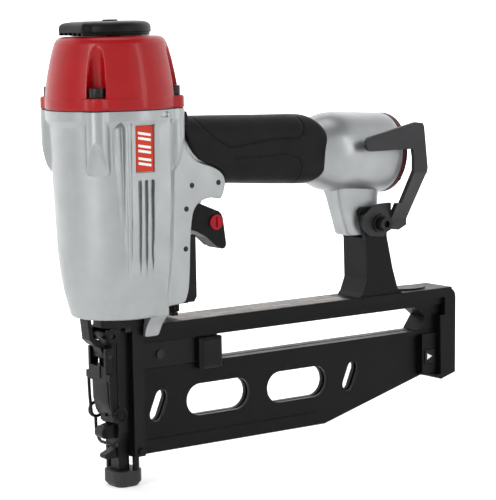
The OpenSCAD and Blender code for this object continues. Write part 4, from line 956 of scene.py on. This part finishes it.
@dataclass
class Studio:
    """Pale sweep, soft light and the camera."""
    azimuth_deg: float = 35.5
    pitch_deg: float = 7.0
    roll_deg: float = 1.0
    eye_mm: tuple[float, float, float] = (-662.5, -1073.3, 305.1)
    lens_mm: float = 144.0
    sensor_mm: float = 36.0
    world_light: float = 0.22
    aim: tuple[float, float, float] = (0.1, 0.0, 0.16)
    lamps: tuple[SoftBox, ...] = (SoftBox("key", (-1.5, -0.5, 0.9), (0.35, 1.5), 13),
                                  SoftBox("side", (0.75, -1.5, 0.7), (0.25, 1.3), 4.5),
                                  SoftBox("top", (0.1, 0.2, 1.6), (0.8, 0.8), 4.2))
    # the sweep: flat out to the first radius, edge at the second, and how fast it curves up, in metres
    sweep: tuple[float, float, float] = (2.0, 8.0, 0.25)
    # its painted glow, an emission that grows from the front to behind the tool: (distance in metres, strength)
    glow: tuple[Span, Span] = ((-0.6, 0.12), (1.6, 0.95))

    def paper(self) -> bpy.types.Material:
        """Makes the sweep's matt white paper with painted light: an emission glow that grows behind the tool so that
        it stays pale there.

        Returns:
            The material.
        """
        material = bpy.data.materials.new("matt white paper sweep with painted glow")
        material.use_nodes = True
        tree = material.node_tree
        shader = tree.nodes["Principled BSDF"]
        shader.inputs["Base Color"].default_value = linear("f6f6f6")
        shader.inputs["Roughness"].default_value = 0.95
        shader.inputs["Specular IOR Level"].default_value = 0.1
        # painted glow: the paper emits light, dim in front of the tool and bright behind it
        shader.inputs["Emission Color"].default_value = (1, 1, 1, 1)
        place = add_node(tree, "ShaderNodeTexCoord").outputs["Object"]
        heading = math.radians(self.azimuth_deg)
        behind = add_node(tree, "ShaderNodeVectorMath", {1: (math.sin(heading), math.cos(heading), 0)}, {0: place},
                          operation="DOT_PRODUCT")
        (start, dim), (end, bright) = self.glow
        glow = add_node(tree, "ShaderNodeMapRange", {"From Min": start, "From Max": end, "To Min": dim,
                                                     "To Max": bright}, {"Value": behind.outputs["Value"]})
        tree.links.new(glow.outputs[0], shader.inputs["Emission Strength"])
        return material

    def floor(self) -> None:
        """Lays a pale floor that curves up far behind on every side: height grows as the square of the
        distance beyond two metres."""
        flat, edge, rise = self.sweep
        t = bearings(96)
        r = np.concatenate([[0.01, 0.5, 1.0, flat], np.linspace(2.3, edge, 24)])
        h = np.maximum(r - flat, 0) ** 2 * rise
        rows = np.stack([r[:, None] * np.cos(t), r[:, None] * np.sin(t), h[:, None] + 0 * t], -1)
        n, m = rows.shape[:2]
        faces = ring_faces(n, m)[:, [0, 3, 2, 1]].tolist() + [list(range(m))]
        new_object("floor", rows.reshape(-1, 3), faces, self.paper())

    def lamp(self, box: SoftBox) -> None:
        """Hangs a soft box and turns it to the aim.

        Args:
            box: the light.
        """
        data = bpy.data.lights.new(box.name, "AREA")
        data.shape = "RECTANGLE"
        data.size, data.size_y = box.size
        data.energy = box.watts
        obj = bpy.data.objects.new(box.name, data)
        obj.location = box.place
        obj.rotation_euler = (Vector(self.aim) - Vector(box.place)).to_track_quat("-Z", "Y").to_euler()
        bpy.context.scene.collection.objects.link(obj)

    def camera(self) -> None:
        """Sets the camera: heading, pitch and roll about the given eye point."""
        a, p, r = (math.radians(v) for v in (self.azimuth_deg, self.pitch_deg, self.roll_deg))
        ahead = Vector((math.sin(a) * math.cos(p), math.cos(a) * math.cos(p), -math.sin(p)))
        flat = Vector((math.cos(a), -math.sin(a), 0))
        rise = flat.cross(ahead)
        right = flat * math.cos(r) - rise * math.sin(r)
        up = flat * math.sin(r) + rise * math.cos(r)
        data = bpy.data.cameras.new("camera")
        data.lens, data.sensor_width, data.sensor_fit = self.lens_mm, self.sensor_mm, "AUTO"
        data.clip_end = 50
        obj = bpy.data.objects.new("camera", data)
        turn = Matrix((right, up, -ahead)).transposed().to_4x4()
        obj.matrix_world = Matrix.Translation(Vector(self.eye_mm) * MM) @ turn
        bpy.context.scene.collection.objects.link(obj)
        bpy.context.scene.camera = obj

    def build(self) -> None:
        """Builds floor, light and camera."""
        self.floor()
        world = bpy.data.worlds.new("studio")
        world.use_nodes = True
        world.node_tree.nodes["Background"].inputs[0].default_value = (1, 1, 1, 1)
        world.node_tree.nodes["Background"].inputs[1].default_value = self.world_light
        bpy.context.scene.world = world
        for box in self.lamps:
            self.lamp(box)
        self.camera()
        bpy.context.scene.view_settings.view_transform = "Standard"


def main() -> None:
    """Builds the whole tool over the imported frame."""
    logging.basicConfig(level=logging.INFO, format="%(message)s")
    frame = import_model()
    Studio().build()
    Wardrobe().dress(frame)
    make = Maker()
    for group in (Casting(make), Top(make), Grip(make), Trim(make)):
        group.build()
        LOG.info("built %s", type(group).__name__)


if __name__ == "__main__":
    main()
